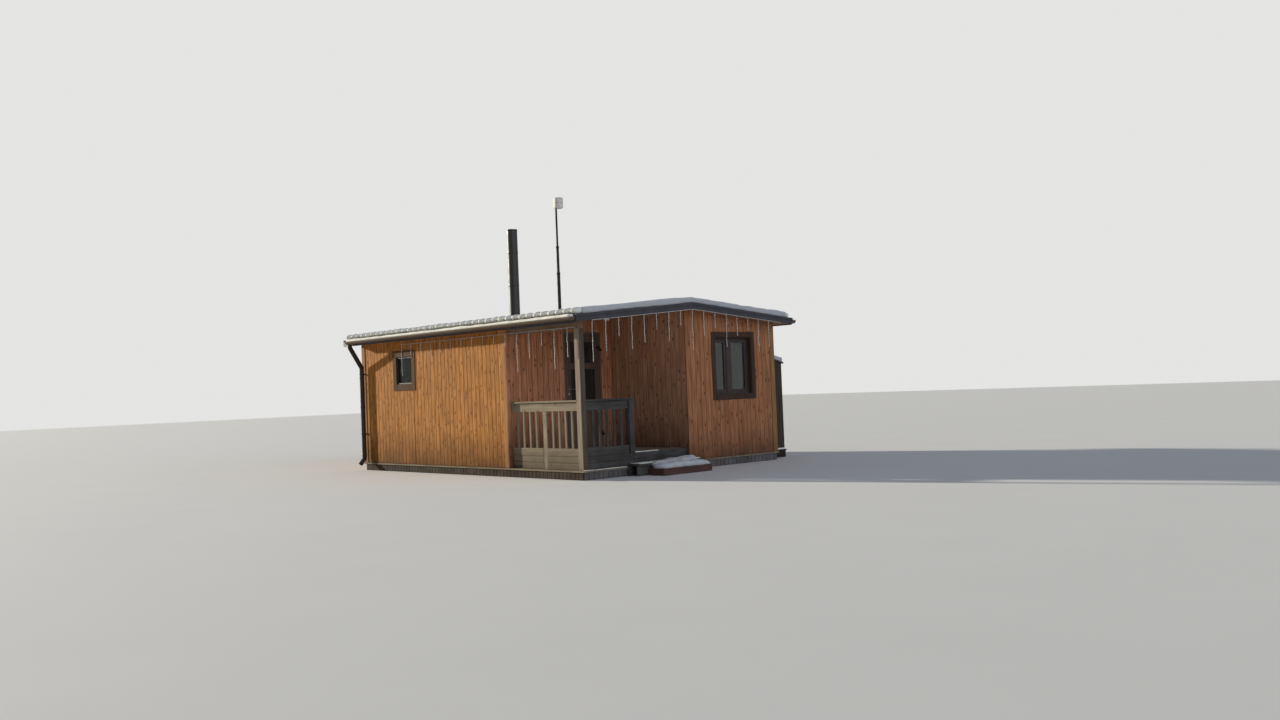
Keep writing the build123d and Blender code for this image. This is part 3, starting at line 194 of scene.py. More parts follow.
def timber(name, tint, along=2, across=0, pitch=0.12, start=0.0, knots=0.0, grooves=0.0, flecks=0.0,
           dirt_and_shade=None, grey=None, painted_shade_face=None):
    """Sawn and stained spruce. Its grain runs along the board in soft streaks 5 to 26 mm wide,
    every board has its own tone, dark knots about 35 mm across sit along it, and on weathered
    walls the stain has worn in flecks about 45 by 300 mm."""
    made, tree, spot = material(name, {"Roughness": 0.62, "Specular IOR Level": 0.02})
    parts = add(tree, "SeparateXYZ", {0: spot})
    share = add(tree, "Math", {0: parts[across], 1: start}, operation="SUBTRACT")[0]
    share = add(tree, "Math", {0: share, 1: pitch}, operation="DIVIDE")[0]
    board = add(tree, "Math", {0: share}, operation="FLOOR")[0]
    own = add(tree, "TexWhiteNoise", {"W": board}, noise_dimensions="1D")["Color"]
    tones = add(tree, "SeparateColor", {0: own})
    stretch = [1.0, 1.0, 1.0]
    stretch[along] = 0.055
    run = add(tree, "Mapping", {"Vector": spot, "Scale": stretch})[0]
    run = add(tree, "VectorMath", {0: own, 1: (9, 9, 9), 2: run}, operation="MULTIPLY_ADD")[0]
    wide = add(tree, "TexNoise", {"Vector": run, "Scale": 38.0, "Detail": 3.0})[0]
    fine = add(tree, "TexNoise", {"Vector": run, "Scale": 210.0, "Detail": 4.0, "Roughness": 0.65})[0]
    layers = [(wide, 0.34, 0.68, 0.0, 1.0, tinted(tint, 0.62, 0.56, 0.50)),
              (fine, 0.45, 0.75, 0.0, 0.45, tinted(tint, 0.55, 0.48, 0.42)),
              (tones[0], 0.0, 1.0, 0.0, 0.42, tinted(tint, 0.55, 0.50, 0.46)),
              (tones[1], 0.0, 1.0, 0.0, 0.34, tinted(tint, 1.24, 1.06, 0.86))]
    if flecks:
        stretch[along] = 0.15
        worn = add(tree, "Mapping", {"Vector": spot, "Scale": stretch})[0]
        worn = add(tree, "VectorMath", {0: own, 1: (9, 9, 9), 2: worn}, operation="MULTIPLY_ADD")[0]
        worn = add(tree, "TexNoise", {"Vector": worn, "Scale": 22.0, "Detail": 4.0, "Roughness": 0.6})[0]
        layers += [(worn, 0.50, 0.68, 0.0, flecks, tinted(tint, 0.45, 0.38, 0.32)),
                   (worn, 0.30, 0.50, flecks, 0.0, tinted(tint, 1.40, 1.40, 1.42))]
    if knots:
        place = add(tree, "Math", {0: parts[along], 1: 4.6, 2: tones[2]}, operation="MULTIPLY_ADD")[0]
        cells = add(tree, "CombineXYZ", {0: share, 1: place})[0]
        cell = add(tree, "TexVoronoi", {"Vector": cells, "Scale": 1.0, "Randomness": 0.8},
                   voronoi_dimensions="2D")
        there = add(tree, "SeparateColor", {0: cell["Color"]})[0]
        there = add(tree, "Math", {0: there, 1: 1 - knots}, operation="GREATER_THAN")[0]
        knot = add(tree, "MapRange", {0: cell["Distance"], 1: 0.05, 2: 0.20, 3: 1.0, 4: 0.0})[0]
        knot = add(tree, "Math", {0: knot, 1: there}, operation="MULTIPLY")[0]
        layers.append((knot, 0.0, 1.0, 0.0, 0.8, tinted(tint, 0.24, 0.17, 0.13)))
    if grooves:
        side = add(tree, "Math", {0: share}, operation="FRACT")[0]
        side = add(tree, "Math", {0: side, 1: 0.5}, operation="SUBTRACT")[0]
        side = add(tree, "Math", {0: side}, operation="ABSOLUTE")[0]
        layers.append((side, 0.43, 0.485, 0.0, grooves, tinted(tint, 0.22, 0.18, 0.15)))
    cloud = add(tree, "TexNoise", {"Vector": spot, "Scale": 3.1, "Detail": 4.0})[0]
    # Darker towards the foot: dirt on most pieces, and painted shade behind the side railing on the porch's
    # door wall.
    if dirt_and_shade:
        low, high, most, code = dirt_and_shade
        level = add(tree, "Math", {0: cloud, 1: 0.5, 2: parts[2]}, operation="MULTIPLY_ADD")[0]
        layers.append((level, low + 0.25, high + 0.25, most, 0.0, linear(code)))
    if grey:
        most, code = grey
        layers.append((cloud, 0.38, 0.62, 0.0, most, linear(code)))
    # Painted shade: the face at the given place, turned away from the sun, is darkened towards the given
    # colour.
    if painted_shade_face:
        face, code = painted_shade_face
        layers.append((parts[0], face - 0.003, face - 0.001, 0.0, 0.75, linear(code)))
    relief = add(tree, "Math", {0: fine, 1: 0.6, 2: wide}, operation="MULTIPLY_ADD")[0]
    bump = add(tree, "Bump", {"Strength": 0.6, "Distance": 0.0012, "Height": relief})[0]
    return finished(made, tinted(tint, 1.18, 1.16, 1.12), layers, bump)


def painted(name, tint, along=1):
    """Painted softwood. Brush lines up to 9 mm apart follow the board, and rain has chalked the
    paint paler in patches about 200 mm across."""
    made, tree, spot = material(name, {"Roughness": 0.55, "Specular IOR Level": 0.2})
    stretch = [110.0, 110.0, 110.0]
    stretch[along] = 5.0
    run = add(tree, "Mapping", {"Vector": spot, "Scale": stretch})[0]
    lines = add(tree, "TexNoise", {"Vector": run, "Scale": 1.0, "Detail": 4.0})[0]
    chalk = add(tree, "TexNoise", {"Vector": spot, "Scale": 5.0, "Detail": 5.0})[0]
    bump = add(tree, "Bump", {"Strength": 0.5, "Distance": 0.0008, "Height": lines})[0]
    return finished(made, tinted(tint, 1.1, 1.1, 1.1), [
        (lines, 0.35, 0.7, 0.0, 0.45, tinted(tint, 0.55, 0.55, 0.55)),
        (chalk, 0.45, 0.72, 0.0, 0.4, tinted(tint, 1.9, 1.9, 1.85))], bump)


def coated(name, tint, roughness, metallic=0.0, dust=0.25, coat=0.0, gloss=0.25):
    """Polyester coated steel. The sprayed film has an even sheen and an orange peel about 2 mm
    across, and dull dust lies on it in soft patches."""
    made, tree, spot = material(name, {"Metallic": metallic, "Specular IOR Level": 0.2,
                                       "Coat Weight": coat, "Coat Roughness": gloss})
    patch = add(tree, "TexNoise", {"Vector": spot, "Scale": 9.0, "Detail": 5.0})[0]
    peel = add(tree, "TexNoise", {"Vector": spot, "Scale": 420.0, "Detail": 2.0})[0]
    sheen = add(tree, "MapRange", {0: patch, 1: 0.3, 2: 0.8, 3: roughness - 0.08, 4: roughness + 0.25})[0]
    bump = add(tree, "Bump", {"Strength": 0.35, "Distance": 0.0003, "Height": peel})[0]
    return finished(made, list(tint), [
        (patch, 0.42, 0.75, 0.0, dust, linear("#8A847B")),
        (peel, 0.35, 0.7, 0.0, 0.25, tinted(tint, 0.65, 0.65, 0.65))], bump, sheen)


def settled_snow(name, tint, side_shade=0.0):
    """Settled snow. White and matt, with painted bluish shade in its hollows. Its grains are drawn
    about 7 mm across, coarser than real ones so that they show, on soft lumps of a hand's width.
    Its upright sides can be painted greyer as shade."""
    made, tree, spot = material(name, {"Roughness": 0.88, "Specular IOR Level": 0.1})
    lumps = add(tree, "TexNoise", {"Vector": spot, "Scale": 11.0, "Detail": 5.0})[0]
    grains = add(tree, "TexNoise", {"Vector": spot, "Scale": 140.0, "Detail": 3.0})[0]
    # Painted shade: where the lumps dip into hollows, the snow is darker and bluish.
    layers = [(lumps, 0.38, 0.7, 0.5, 0.0, tinted(tint, 0.78, 0.82, 0.90))]
    # Painted shade: faces that stand upright are greyer than the top.
    if side_shade:
        rise = add(tree, "SeparateXYZ", {0: add(tree, "TexCoord")["Normal"]})[2]
        layers.append((rise, 0.25, 0.85, side_shade, 0.0, tinted(tint, 0.60, 0.60, 0.61)))
    relief = add(tree, "Math", {0: grains, 1: 0.2, 2: lumps}, operation="MULTIPLY_ADD")[0]
    bump = add(tree, "Bump", {"Strength": 0.6, "Distance": 0.010, "Height": relief})[0]
    return finished(made, list(tint), layers, bump)


def float_glass(name, bend=1.5):
    """Clear float glass. Slightly green and very smooth, it looks dark where the room is dark."""
    made, tree, spot = material(name, {"Roughness": 0.03, "IOR": bend, "Transmission Weight": 0.9})
    haze = add(tree, "TexNoise", {"Vector": spot, "Scale": 2.2, "Detail": 2.0})[0]
    return finished(made, linear("#6E7672"), [(haze, 0.0, 1.0, 0.0, 1.0, linear("#8B938F"))])


def frosted_plastic(name, low, high, roughness=0.5, grain=60.0):
    """Moulded plastic with a frost of fine snow. It is pale and even. Its frost stands out a little
    in patches of one over the grain, in metres, coarser than real crystals so that they show."""
    made, tree, spot = material(name, {"Roughness": roughness, "Specular IOR Level": 0.2})
    frost = add(tree, "TexNoise", {"Vector": spot, "Scale": grain, "Detail": 4.0})[0]
    bump = add(tree, "Bump", {"Strength": 0.5, "Distance": 0.001, "Height": frost})[0]
    return finished(made, linear(low), [(frost, 0.35, 0.68, 0.0, 1.0, linear(high))], bump)


def only(*objects):
    """Select these objects alone and make the last one active."""
    bpy.ops.object.select_all(action="DESELECT")
    for obj in objects:
        obj.select_set(True)
    bpy.context.view_layer.objects.active = objects[-1]


def settle(obj, name):
    """Name a new object and put its place, turn and size into its mesh."""
    only(obj)
    bpy.ops.object.transform_apply(location=True, rotation=True, scale=True)
    obj.name = obj.data.name = name
    return obj


def fresh(name, primitive, **settings):
    """Add a primitive with nothing else selected, and settle it."""
    bpy.ops.object.select_all(action="DESELECT")
    primitive(**settings)
    return settle(bpy.context.active_object, name)


def modify(obj, kind, **settings):
    """Add a modifier, set it and apply it."""
    only(obj)
    made = obj.modifiers.new(kind.title(), kind)
    for key, value in settings.items():
        setattr(made, key, value)
    bpy.ops.object.modifier_apply(modifier=made.name)
    return obj


def ease(obj, width, segments=1):
    """Chamfer a piece's edges, or round them in more segments."""
    return modify(obj, "BEVEL", width=width, segments=segments, limit_method="ANGLE")


def blocks(name, spans):
    """One mesh of upright blocks, each from (x0, x1, y0, y1, z0, z1)."""
    bpy.ops.object.select_all(action="DESELECT")
    for at, (x0, x1, y0, y1, z0, z1) in enumerate(spans):
        bpy.ops.mesh.primitive_cube_add(
            size=1, location=((x0 + x1) / 2, (y0 + y1) / 2, (z0 + z1) / 2),
            scale=(x1 - x0, y1 - y0, z1 - z0))
        if at == 0:
            obj = settle(bpy.context.active_object, name)
            bpy.ops.object.mode_set(mode="EDIT")
    bpy.ops.object.mode_set(mode="OBJECT")
    return obj


def planks(name, spans, edge=None):
    """Boards with their edges eased by a small chamfer."""
    return ease(blocks(name, spans), edge or bpy.context.scene.cabin_sizes.eased)


def repeat(obj, count, step):
    """Repeat a piece along a step."""
    return modify(obj, "ARRAY", count=count, use_relative_offset=False, use_constant_offset=True,
                  constant_offset_displace=step)


def join(name, parts):
    """Make several pieces one."""
    only(*parts)
    if len(parts) > 1:
        bpy.ops.object.join()
    obj = bpy.context.active_object
    obj.name = obj.data.name = name
    return obj


def cut(obj, point, normal):
    """Cut closed pieces along a plane, drop the side that the normal points to and close them."""
    only(obj)
    bpy.ops.object.mode_set(mode="EDIT")
    bpy.ops.mesh.select_all(action="SELECT")
    bpy.ops.mesh.bisect(plane_co=point, plane_no=normal, use_fill=True, clear_outer=True)
    bpy.ops.object.mode_set(mode="OBJECT")
    return obj


def under_roof(obj, gap=0.002):
    """Cut a piece along the underside of both roof slopes."""
    for side in (-1, 1):
        cut(obj, (0, 0, RIDGE - gap), (0, side * SLOPE, 1))
    return obj


def between(obj, y, low, high, slope):
    """Cut a piece between two parallel slopes, from their heights over a line along the house."""
    cut(obj, (0, y, high), (0, slope, 1))
    return cut(obj, (0, y, low), (0, -slope, -1))


def on_slope(name, x0, x1, y0, y1, low, high):
    """A board along one roof slope, between two heights over the deck's underside."""
    side = 1 if y0 + y1 > 0 else -1
    obj = blocks(name, [(x0, x1, y0, y1, 1.5, 3.5)])
    return between(obj, 0, RIDGE + low, RIDGE + high, side * SLOPE)


def tube(name, radius, middle, low, high, wall=0.0, sides=32):
    """An upright bar, or a ring of a given wall inside the radius, with eased edges."""
    obj = fresh(name, bpy.ops.mesh.primitive_cylinder_add, vertices=sides, radius=radius, depth=high - low,
                location=(*middle, (low + high) / 2), end_fill_type="NOTHING" if wall else "NGON")
    if wall:
        modify(obj, "SOLIDIFY", thickness=wall, offset=-1)
    return ease(obj, min(0.0015, (high - low) / 4), 2)


def row(start, end, count, gap=0.0008):
    """Places of equal boards side by side, each with its low and high edge."""
    step = (end - start) / count
    return [(start + at * step + gap / 2, start + (at + 1) * step - gap / 2) for at in range(count)]


def upright(across, a, b, near, far, foot, head):
    """A block's span from its reach along a wall and through it."""
    return (a, b, near, far, foot, head) if across == 0 else (near, far, a, b, foot, head)


def inset(outer, wide):
    """The opening inside a frame whose bars all have one width."""
    a, b, foot, head = outer
    return a + wide, b - wide, foot + wide, head - wide


def ring(across, near, far, outer, inner, gap=0.0):
    """Four bars round an opening, the two upright ones over the whole height."""
    a, b, foot, head = outer
    a1, b1, sill, top = inner
    bars = ((a, a1, foot, head), (b1, b, foot, head),
            (a1 + gap, b1 - gap, foot, sill), (a1 + gap, b1 - gap, top, head))
    return [upright(across, *bar[:2], near, far, *bar[2:]) for bar in bars]


def middle_of(node):
    """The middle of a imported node, seen from above, and the height of its top."""
    low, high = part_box(node)
    return ((low.x + high.x) / 2, (low.y + high.y) / 2), high.z


def put(obj, finish, slot, *replaces, body=CABIN, smooth=0.6):
    """Give a finished piece its material, its shading and its place under its body, and hide what it
    replaces.
    """
    obj.data.materials.clear()
    obj.data.materials.append(finish)
    if obj.type == "MESH":
        only(obj)
        bpy.ops.object.shade_smooth_by_angle(angle=smooth)
    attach(obj, body)
    if replaces:
        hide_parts(*replaces)


def dress(finish, *nodes):
    """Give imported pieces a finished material."""
    for name in nodes:
        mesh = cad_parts[name].data
        mesh.materials.clear()
        mesh.materials.append(finish)


def cladding(name, across, start, end, face, out, foot, hole=None):
    """Upright tongue and groove boards on a wall, left out over a window, cut under the roof."""
    sizes = bpy.context.scene.cabin_sizes
    count = round((end - start) / sizes.board)
    near, far = sorted((face - out * HIDDEN, face + out * sizes.board_out))
    narrowest = 0.004
    spans = []
    for low, high in row(start, end, count):
        pieces = [(low, high, foot, OVER_ROOF)]
        if hole and high > hole[0] and low < hole[1]:
            inner = (max(low, hole[0]), min(high, hole[1]))
            pieces = [(*inner, foot, hole[2]), (*inner, hole[3], OVER_ROOF)]
            if low < hole[0] - narrowest:
                pieces.append((low, hole[0], foot, OVER_ROOF))
            if high > hole[1] + narrowest:
                pieces.append((hole[1], high, foot, OVER_ROOF))
        spans += [upright(across, a, b, near, far, z0, z1) for a, b, z0, z1 in pieces]
    return under_roof(planks(name, spans, sizes.groove)), (end - start) / count


class CABIN_OT_stage(bpy.types.Operator):
    """Lay the pale floor, light it softly and set the camera where the photograph was taken"""

    bl_idname = "cabin.stage"
    bl_label = "Floor, light and camera"

    def execute(self, context):
        scene = context.scene
        scene.view_settings.view_transform = "Standard"
        floor = fresh("floor", bpy.ops.mesh.primitive_plane_add, size=160, location=(0, 0, -0.002))
        made, tree, spot = material("matt painted studio floor", {"Roughness": 0.9})
        soft = add(tree, "TexNoise", {"Vector": spot, "Scale": 0.8, "Detail": 3.0})[0]
        floor.data.materials.append(
            finished(made, linear("#DEDDDB"), [(soft, 0.0, 1.0, 0.0, 1.0, linear("#E4E3E1"))]))

        # A low warm sun from the left, and a wide and softer bluish light from the right
        for name, toward, energy, tint, spread in (
                ("sun", (-0.934, -0.293, 0.205), 5.7, (1.0, 0.94, 0.80), 1.5),
                ("soft light", (0.975, 0.0, 0.22), 1.3, (0.76, 0.84, 1.0), 60)):
            bpy.ops.object.light_add(type="SUN")
            lamp = context.active_object
            lamp.name = name
            lamp.rotation_euler = Vector(toward).to_track_quat("Z", "Y").to_euler()
            lamp.data.energy = energy
            lamp.data.color = tint
            lamp.data.angle = radians(spread)

        world = bpy.data.worlds.new("pale surroundings")
        scene.world = world
        world.use_nodes = True
        tree = world.node_tree
        shader = tree.nodes["Background"]
        ray = add(tree, "LightPath")
        seen = add(tree, "Math", {0: ray["Is Glossy Ray"], 1: ray["Is Transmission Ray"]},
                   operation="MAXIMUM")[0]
        seen = add(tree, "Math", {0: seen, 1: ray["Is Camera Ray"]}, operation="MAXIMUM")[0]
        sky = add(tree, "Mix", {0: seen, 6: linear("#D8E5FA"), 7: linear("#EDEDEC")},
                  data_type="RGBA")[2]
        power = add(tree, "MapRange", {0: seen, 3: 0.19, 4: 0.92})[0]
        tree.links.new(sky, shader.inputs["Color"])
        tree.links.new(power, shader.inputs["Strength"])

        yaw, pitch, roll = 0.8209, 0.0236, -0.0400
        forward = Vector((-sin(yaw) * cos(pitch), cos(yaw) * cos(pitch), sin(pitch)))
        level = Vector((cos(yaw), sin(yaw), 0))
        rise = level.cross(forward)
        right = level * cos(roll) + rise * sin(roll)
        up = rise * cos(roll) - level * sin(roll)
        bpy.ops.object.camera_add(location=(16.791, -13.594, 1.390))
        camera = context.active_object
        camera.name = "camera"
        camera.rotation_euler = Matrix((right, up, -forward)).transposed().to_euler()
        camera.data.sensor_width = 36
        camera.data.lens = 32.41
        camera.data.clip_end = 400
        scene.camera = camera
        return {"FINISHED"}


class CABIN_OT_light_strings(bpy.types.Operator):
    """Hang the strings of small lamps along the wall, the porch beam and the verge"""

    bl_idname = "cabin.light_strings"
    bl_label = "Strings of lights"

    # Length of each string in metres, under the gutter from the left and under the verge from the front
    FRONT = (0.580, 0.250, 0.180, 0.260, 0.200, 0.140, 0.130, 0.140,
             0.120, 0.130, 0.200, 0.640, 0.425, 0.245, 0.625, 0.450)
    GABLE = (0.630, 0.490, 0.290, 0.520, 0.430, 0.260, 0.470, 0.250,
             0.650, 0.410, 0.260, 0.550, 0.340, 0.220, 0.560, 0.460)
    # How far each string's knots stand off the plumb line, in millimetres, and how far down
    SWAYS = (
        ((6, -3, 0.16), (-9, -5, 0.38), (8, -4, 0.60), (-7, -5, 0.82), (3, -2, 1.0)),
        ((-8, -4, 0.22), (9, -6, 0.46), (-6, -4, 0.66), (8, -5, 0.86), (-3, -3, 1.0)),
        ((8, -5, 0.18), (-7, -6, 0.34), (9, -4, 0.58), (-9, -5, 0.78), (4, -4, 1.0)),
        ((-6, -5, 0.24), (8, -6, 0.42), (-9, -5, 0.64), (7, -4, 0.84), (-4, -3, 1.0)),
        ((9, -3, 0.20), (-6, -6, 0.44), (6, -5, 0.62), (-8, -5, 0.80), (5, -5, 1.0)),
    )

    def execute(self, context):
        sizes = context.scene.cabin_sizes
        flex = frosted_plastic("frosted PVC flex", "#B5B2AA", "#F0EEE8")
        (_, y), top = middle_of("light_drops_front")
        first, step = -1.801, 0.322
        for index, size in enumerate(self.FRONT):
            at = Vector((first + step * index, y, top))
            self.hang(sizes, flex, "light_drops_front", index, at, size)
        (x, _), _ = middle_of("light_drops_gable")
        first, step = -2.205, 0.272
        for index, size in enumerate(self.GABLE):
            y = first + step * index
            at = Vector((x, y, underside(abs(y) + 0.004) - 0.014))
            self.hang(sizes, flex, "light_drops_gable", index + 2, at, size)
        return {"FINISHED"}

    def hang(self, sizes, flex, node, index, top, size):
        """One string on its own smooth line, with its small lamps as one piece."""
        name = f"{node}_{index:02d}"
        sway = min(1, size / 0.35) / 1000
        knots = [top] + [top + Vector((x * sway, y * sway, -size * down))
                         for x, y, down in self.SWAYS[index * 3 % 5]]
        curve = bpy.data.curves.new(name, "CURVE")
        curve.dimensions = "3D"
        curve.resolution_u = 6
        line = curve.splines.new("NURBS")
        line.points.add(len(knots) - 1)
        for point, knot in zip(line.points, knots):
            point.co = (*knot, 1)
        line.order_u = 3
        line.use_endpoint_u = True
        drop = bpy.data.objects.new(name, curve)
        bpy.context.scene.collection.objects.link(drop)

        # The lamps sit at equal steps along the line that the spline gives
        bpy.context.view_layer.update()
        traced = bpy.data.meshes.new_from_object(drop)
        path = [v.co.copy() for v in traced.vertices]
        bpy.data.meshes.remove(traced)
        lamps, gone, wanted, apart = [], 0.0, 0.045, 0.055
        for a, b in zip(path, path[1:]):
            while wanted <= gone + (b - a).length:
                at = a.lerp(b, (wanted - gone) / (b - a).length)
                lamps.append(fresh("lamp", bpy.ops.mesh.primitive_ico_sphere_add, subdivisions=2,
                                   radius=sizes.bead / 2, location=at, scale=(0.8, 0.8, 1.5)))
                wanted += apart
            gone += (b - a).length
        lamps = join(name + "_lamps", lamps)
        curve.bevel_depth = sizes.drop / 2
        curve.bevel_resolution = 2
        curve.use_fill_caps = True
        put(lamps, flex, "light_wire")
        put(drop, flex, "light_wire", node)


class CABIN_OT_front_cladding(bpy.types.Operator):
    """Board the sunny front wall and leave out the small window"""

    bl_idname = "cabin.front_cladding"
    bl_label = "Front cladding"

    def execute(self, context):
        start = CORNER_END - HALF_LENGTH
        wall, pitch = cladding("front_boards", 0, start, PORCH_X - CORNER_END, -HALF_WIDTH, -1,
                               BOARD_FOOT, hole=(-2.060, -1.470, 1.585, 2.155))
        pine = timber("stained spruce, sunny front", context.scene.cabin_colours.front, 2, 0, pitch, start,
                      knots=0.6, grooves=0.6, flecks=0.5, dirt_and_shade=(0.05, 0.80, 0.85, "#51351A"))
        put(wall, pine, "front_cladding")
        dress(pine, "front_wall")
        return {"FINISHED"}


class CABIN_OT_porch_cladding(bpy.types.Operator):
    """Board the two walls of the porch round the door"""

    bl_idname = "cabin.porch_cladding"
    bl_label = "Porch cladding"

    def execute(self, context):
        tints = context.scene.cabin_colours
        out = context.scene.cabin_sizes.board_out
        low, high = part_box("door_frame")
        foot = DECK_TOP + 0.003
        walls = [cladding(name, 1, start, end, PORCH_X, 1, base) for name, start, end, base in (
            ("door_wall_boards", PORCH_FRONT, low.y - JOINT, foot),
            ("beside_door", high.y + 0.023, PORCH_Y - out - JOINT, foot),
            ("over_door", low.y, high.y + 0.022, high.z + 0.002))]
        edge = under_roof(planks("porch_corner_return", [
            (PORCH_X - HIDDEN, PORCH_X + out, -HALF_WIDTH - 0.019, PORCH_FRONT - 0.0007,
             BOARD_FOOT, OVER_ROOF)]))
        wall = join("porch_door_wall", [*(boards for boards, _ in walls), edge])
        # Painted shade: its lower part is darker where the side railing shades it.
        stained = timber("stained spruce, porch", tints.porch, 2, 1, walls[0][1], PORCH_FRONT, knots=0.45,
                         grooves=0.7, flecks=0.35, dirt_and_shade=(0.40, 1.10, 0.6, "#3A302A"))
        put(wall, stained, "shaded_cladding")
        dress(stained, "porch_wall_front", "porch_wall_rear", "porch_wall_head")

        end = HALF_LENGTH - JOINT
        back, pitch = cladding("porch_back_boards", 0, PORCH_X + out + JOINT, end, PORCH_Y, -1, foot)
        filler = planks("porch_back_filler", [
            (3.2085, end, PORCH_Y - out, PORCH_Y + HIDDEN, BOARD_FOOT, foot - 0.001)])
        dark = timber("stained spruce, porch back", tints.porch_back, 2, 0, pitch, PORCH_X + out,
                      knots=0.4, grooves=0.7, flecks=0.35, dirt_and_shade=(0.30, 0.90, 0.5, "#3A302A"))
        put(join("porch_back_wall_boards", [back, filler]), dark, "shaded_cladding")
        dress(dark, "porch_back_wall")
        return {"FINISHED"}


class CABIN_OT_gable_cladding(bpy.types.Operator):
    """Board the gable with the large window, the rear wall and the left end"""

    bl_idname = "cabin.gable_cladding"
    bl_label = "Gable, rear and left cladding"

    def execute(self, context):
        tint = context.scene.cabin_colours.gable
        x, y = HALF_LENGTH - CORNER_END, HALF_WIDTH - CORNER_END
        for side, words, across, start, end, face, out, knots, flecks, dirt_and_shade, hole in (
                ("gable", "gable", 1, PORCH_Y - 0.010, y, HALF_LENGTH, 1, 0.4, 0.4, 0.75,
                 (0.715, 1.705, 1.170, 2.230)),
                ("left", "left end", 1, -y, y, -HALF_LENGTH, -1, 0.3, 0.35, 0.6, None),
                ("rear", "rear", 0, -x, x, HALF_WIDTH, 1, 0.3, 0.35, 0.6, None)):
            wall, pitch = cladding(side + "_boards", across, start, end, face, out, BOARD_FOOT, hole=hole)
            brown = timber("stained spruce, " + words, tint, 2, across, pitch, start, knots=knots,
                           grooves=0.7, flecks=flecks, dirt_and_shade=(0.10, 0.62, dirt_and_shade, "#4A3A30"))
            put(wall, brown, "shaded_cladding")
            dress(brown, side + "_wall")
        return {"FINISHED"}


class CABIN_OT_corner_boards(bpy.types.Operator):
    """Cover the corners with pairs of flat boards"""

    bl_idname = "cabin.corner_boards"
    bl_label = "Corner boards"

    def execute(self, context):
        low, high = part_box("corner_boards")
        thick, wide = 0.020, 0.095
        spans = []
        for x, y in ((-1, -1), (-1, 1), (1, 1)):
            edge = x * (HALF_LENGTH + thick)
            over = sorted((y * HALF_WIDTH, y * (HALF_WIDTH + thick)))
            side = sorted((y * (HALF_WIDTH - wide), y * (HALF_WIDTH - JOINT)))
            spans += [(*sorted((x * (HALF_LENGTH - wide), edge)), *over, low.z, high.z),
                      (*sorted((x * HALF_LENGTH, edge)), *side, low.z, high.z)]
        spans.append((PORCH_X - wide, PORCH_X - 0.0088, -HALF_WIDTH - thick, -HALF_WIDTH, low.z, high.z))
        boards = planks("corner_board_pairs", spans)
        tint = context.scene.cabin_colours.corner
        put(boards, timber("stained spruce, corner boards", tint, 2, 0, 0.9, -3.1, knots=0.25,
                           dirt_and_shade=(0.05, 0.6, 0.5, "#5E4934")), "corner_timber", "corner_boards")
        return {"FINISHED"}


class CABIN_OT_front_window(bpy.types.Operator):
    """Frame the small front window with wide weathered boards"""

    bl_idname = "cabin.front_window"
    bl_label = "Front window"

    def execute(self, context):
        tints = context.scene.cabin_colours
        low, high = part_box("front_window_trim")
        outer = (low.x, high.x, low.z, high.z)
        trim = planks("front_window_boards", ring(0, low.y, -HALF_WIDTH, outer, inset(outer, 0.120), 0.001))
        put(trim, timber("weathered spruce, front window", tints.window, 2, 0, 0.64, -2.145,
                         knots=0.2, dirt_and_shade=(1.0, 3.5, 0.5, "#433120")), "weathered_timber",
            "front_window_trim")
        low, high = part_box("front_window_frame")
        outer = (low.x, high.x, low.z, high.z)
        sash = planks("front_window_sash", ring(0, low.y, high.y, outer, inset(outer, 0.024)), 0.002)
        dark = painted("stained pine, small window", tinted(tints.joinery, 0.4, 0.4, 0.4), 2)
        put(sash, dark, "dark_joinery", "front_window_frame")
        dress(float_glass("float glass, small window", 1.14), "front_window_glass")
        return {"FINISHED"}


class CABIN_OT_gable_window(bpy.types.Operator):
    """Set a narrow and a wide sash deep in the gable behind dark boards"""

    bl_idname = "cabin.gable_window"
    bl_label = "Gable window"

    def execute(self, context):
        tints = context.scene.cabin_colours
        low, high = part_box("gable_window_trim")
        outer = (low.y, high.y, low.z, high.z)
        trim = planks("gable_window_boards", ring(1, low.x, high.x, outer, inset(outer, 0.095), 0.001))
        dark = timber("dark stained pine, gable window", tints.joinery, 2, 1, 1.01, 0.70)
        put(trim, dark, "dark_joinery", "gable_window_trim")
        low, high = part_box("gable_window_frame")
        outer = (low.y, high.y, low.z, high.z)
        lining = ring(1, high.x + JOINT, HALF_LENGTH, outer, inset(outer, 0.006), JOINT)
        put(planks("gable_window_lining", lining, 0.001), dark, "dark_joinery")

        # An outer frame and mullion, and a thinner sash round each pane
        stile, small, mullion, edge = 0.085, 0.210, 0.190, 0.034
        y0, y1, z0, z1 = outer
        panes = ((y0 + stile, y0 + stile + small), (y0 + stile + small + mullion, y1 - stile))
        middle = (panes[0][1] + panes[1][0]) / 2
        post, front, back = 0.045, high.x - 0.010, (low.x + high.x) / 2 - 0.007
        bars = ring(1, low.x, high.x, outer, inset(outer, edge))
        bars.append((low.x, high.x, middle - post, middle + post, z0 + edge, z1 - edge))
        spacers = []
        for (a, b), reach in zip(panes, ((y0 + edge, middle - post), (middle + post, y1 - edge))):
            glass = (a, b, z0 + stile, z1 - stile)
            bars += ring(1, low.x, front, inset((*reach, z0 + edge, z1 - edge), 0.001), glass)
            spacers += ring(1, back - 0.010, back, glass, inset(glass, 0.010))
        brown = painted("stained pine, gable window", tinted(tints.joinery, 0.6, 0.62, 0.66), 2)
        put(planks("gable_window_sashes", bars, 0.003), brown, "dark_joinery", "gable_window_frame")
        steel = coated("anodised aluminium spacer", linear("#A5A5A2"), 0.35, 0.9, 0.1)
        put(planks("gable_glass_spacer", spacers, 0.001), steel, "dark_joinery")
        dress(float_glass("float glass, gable"), "gable_window_glass")
        return {"FINISHED"}


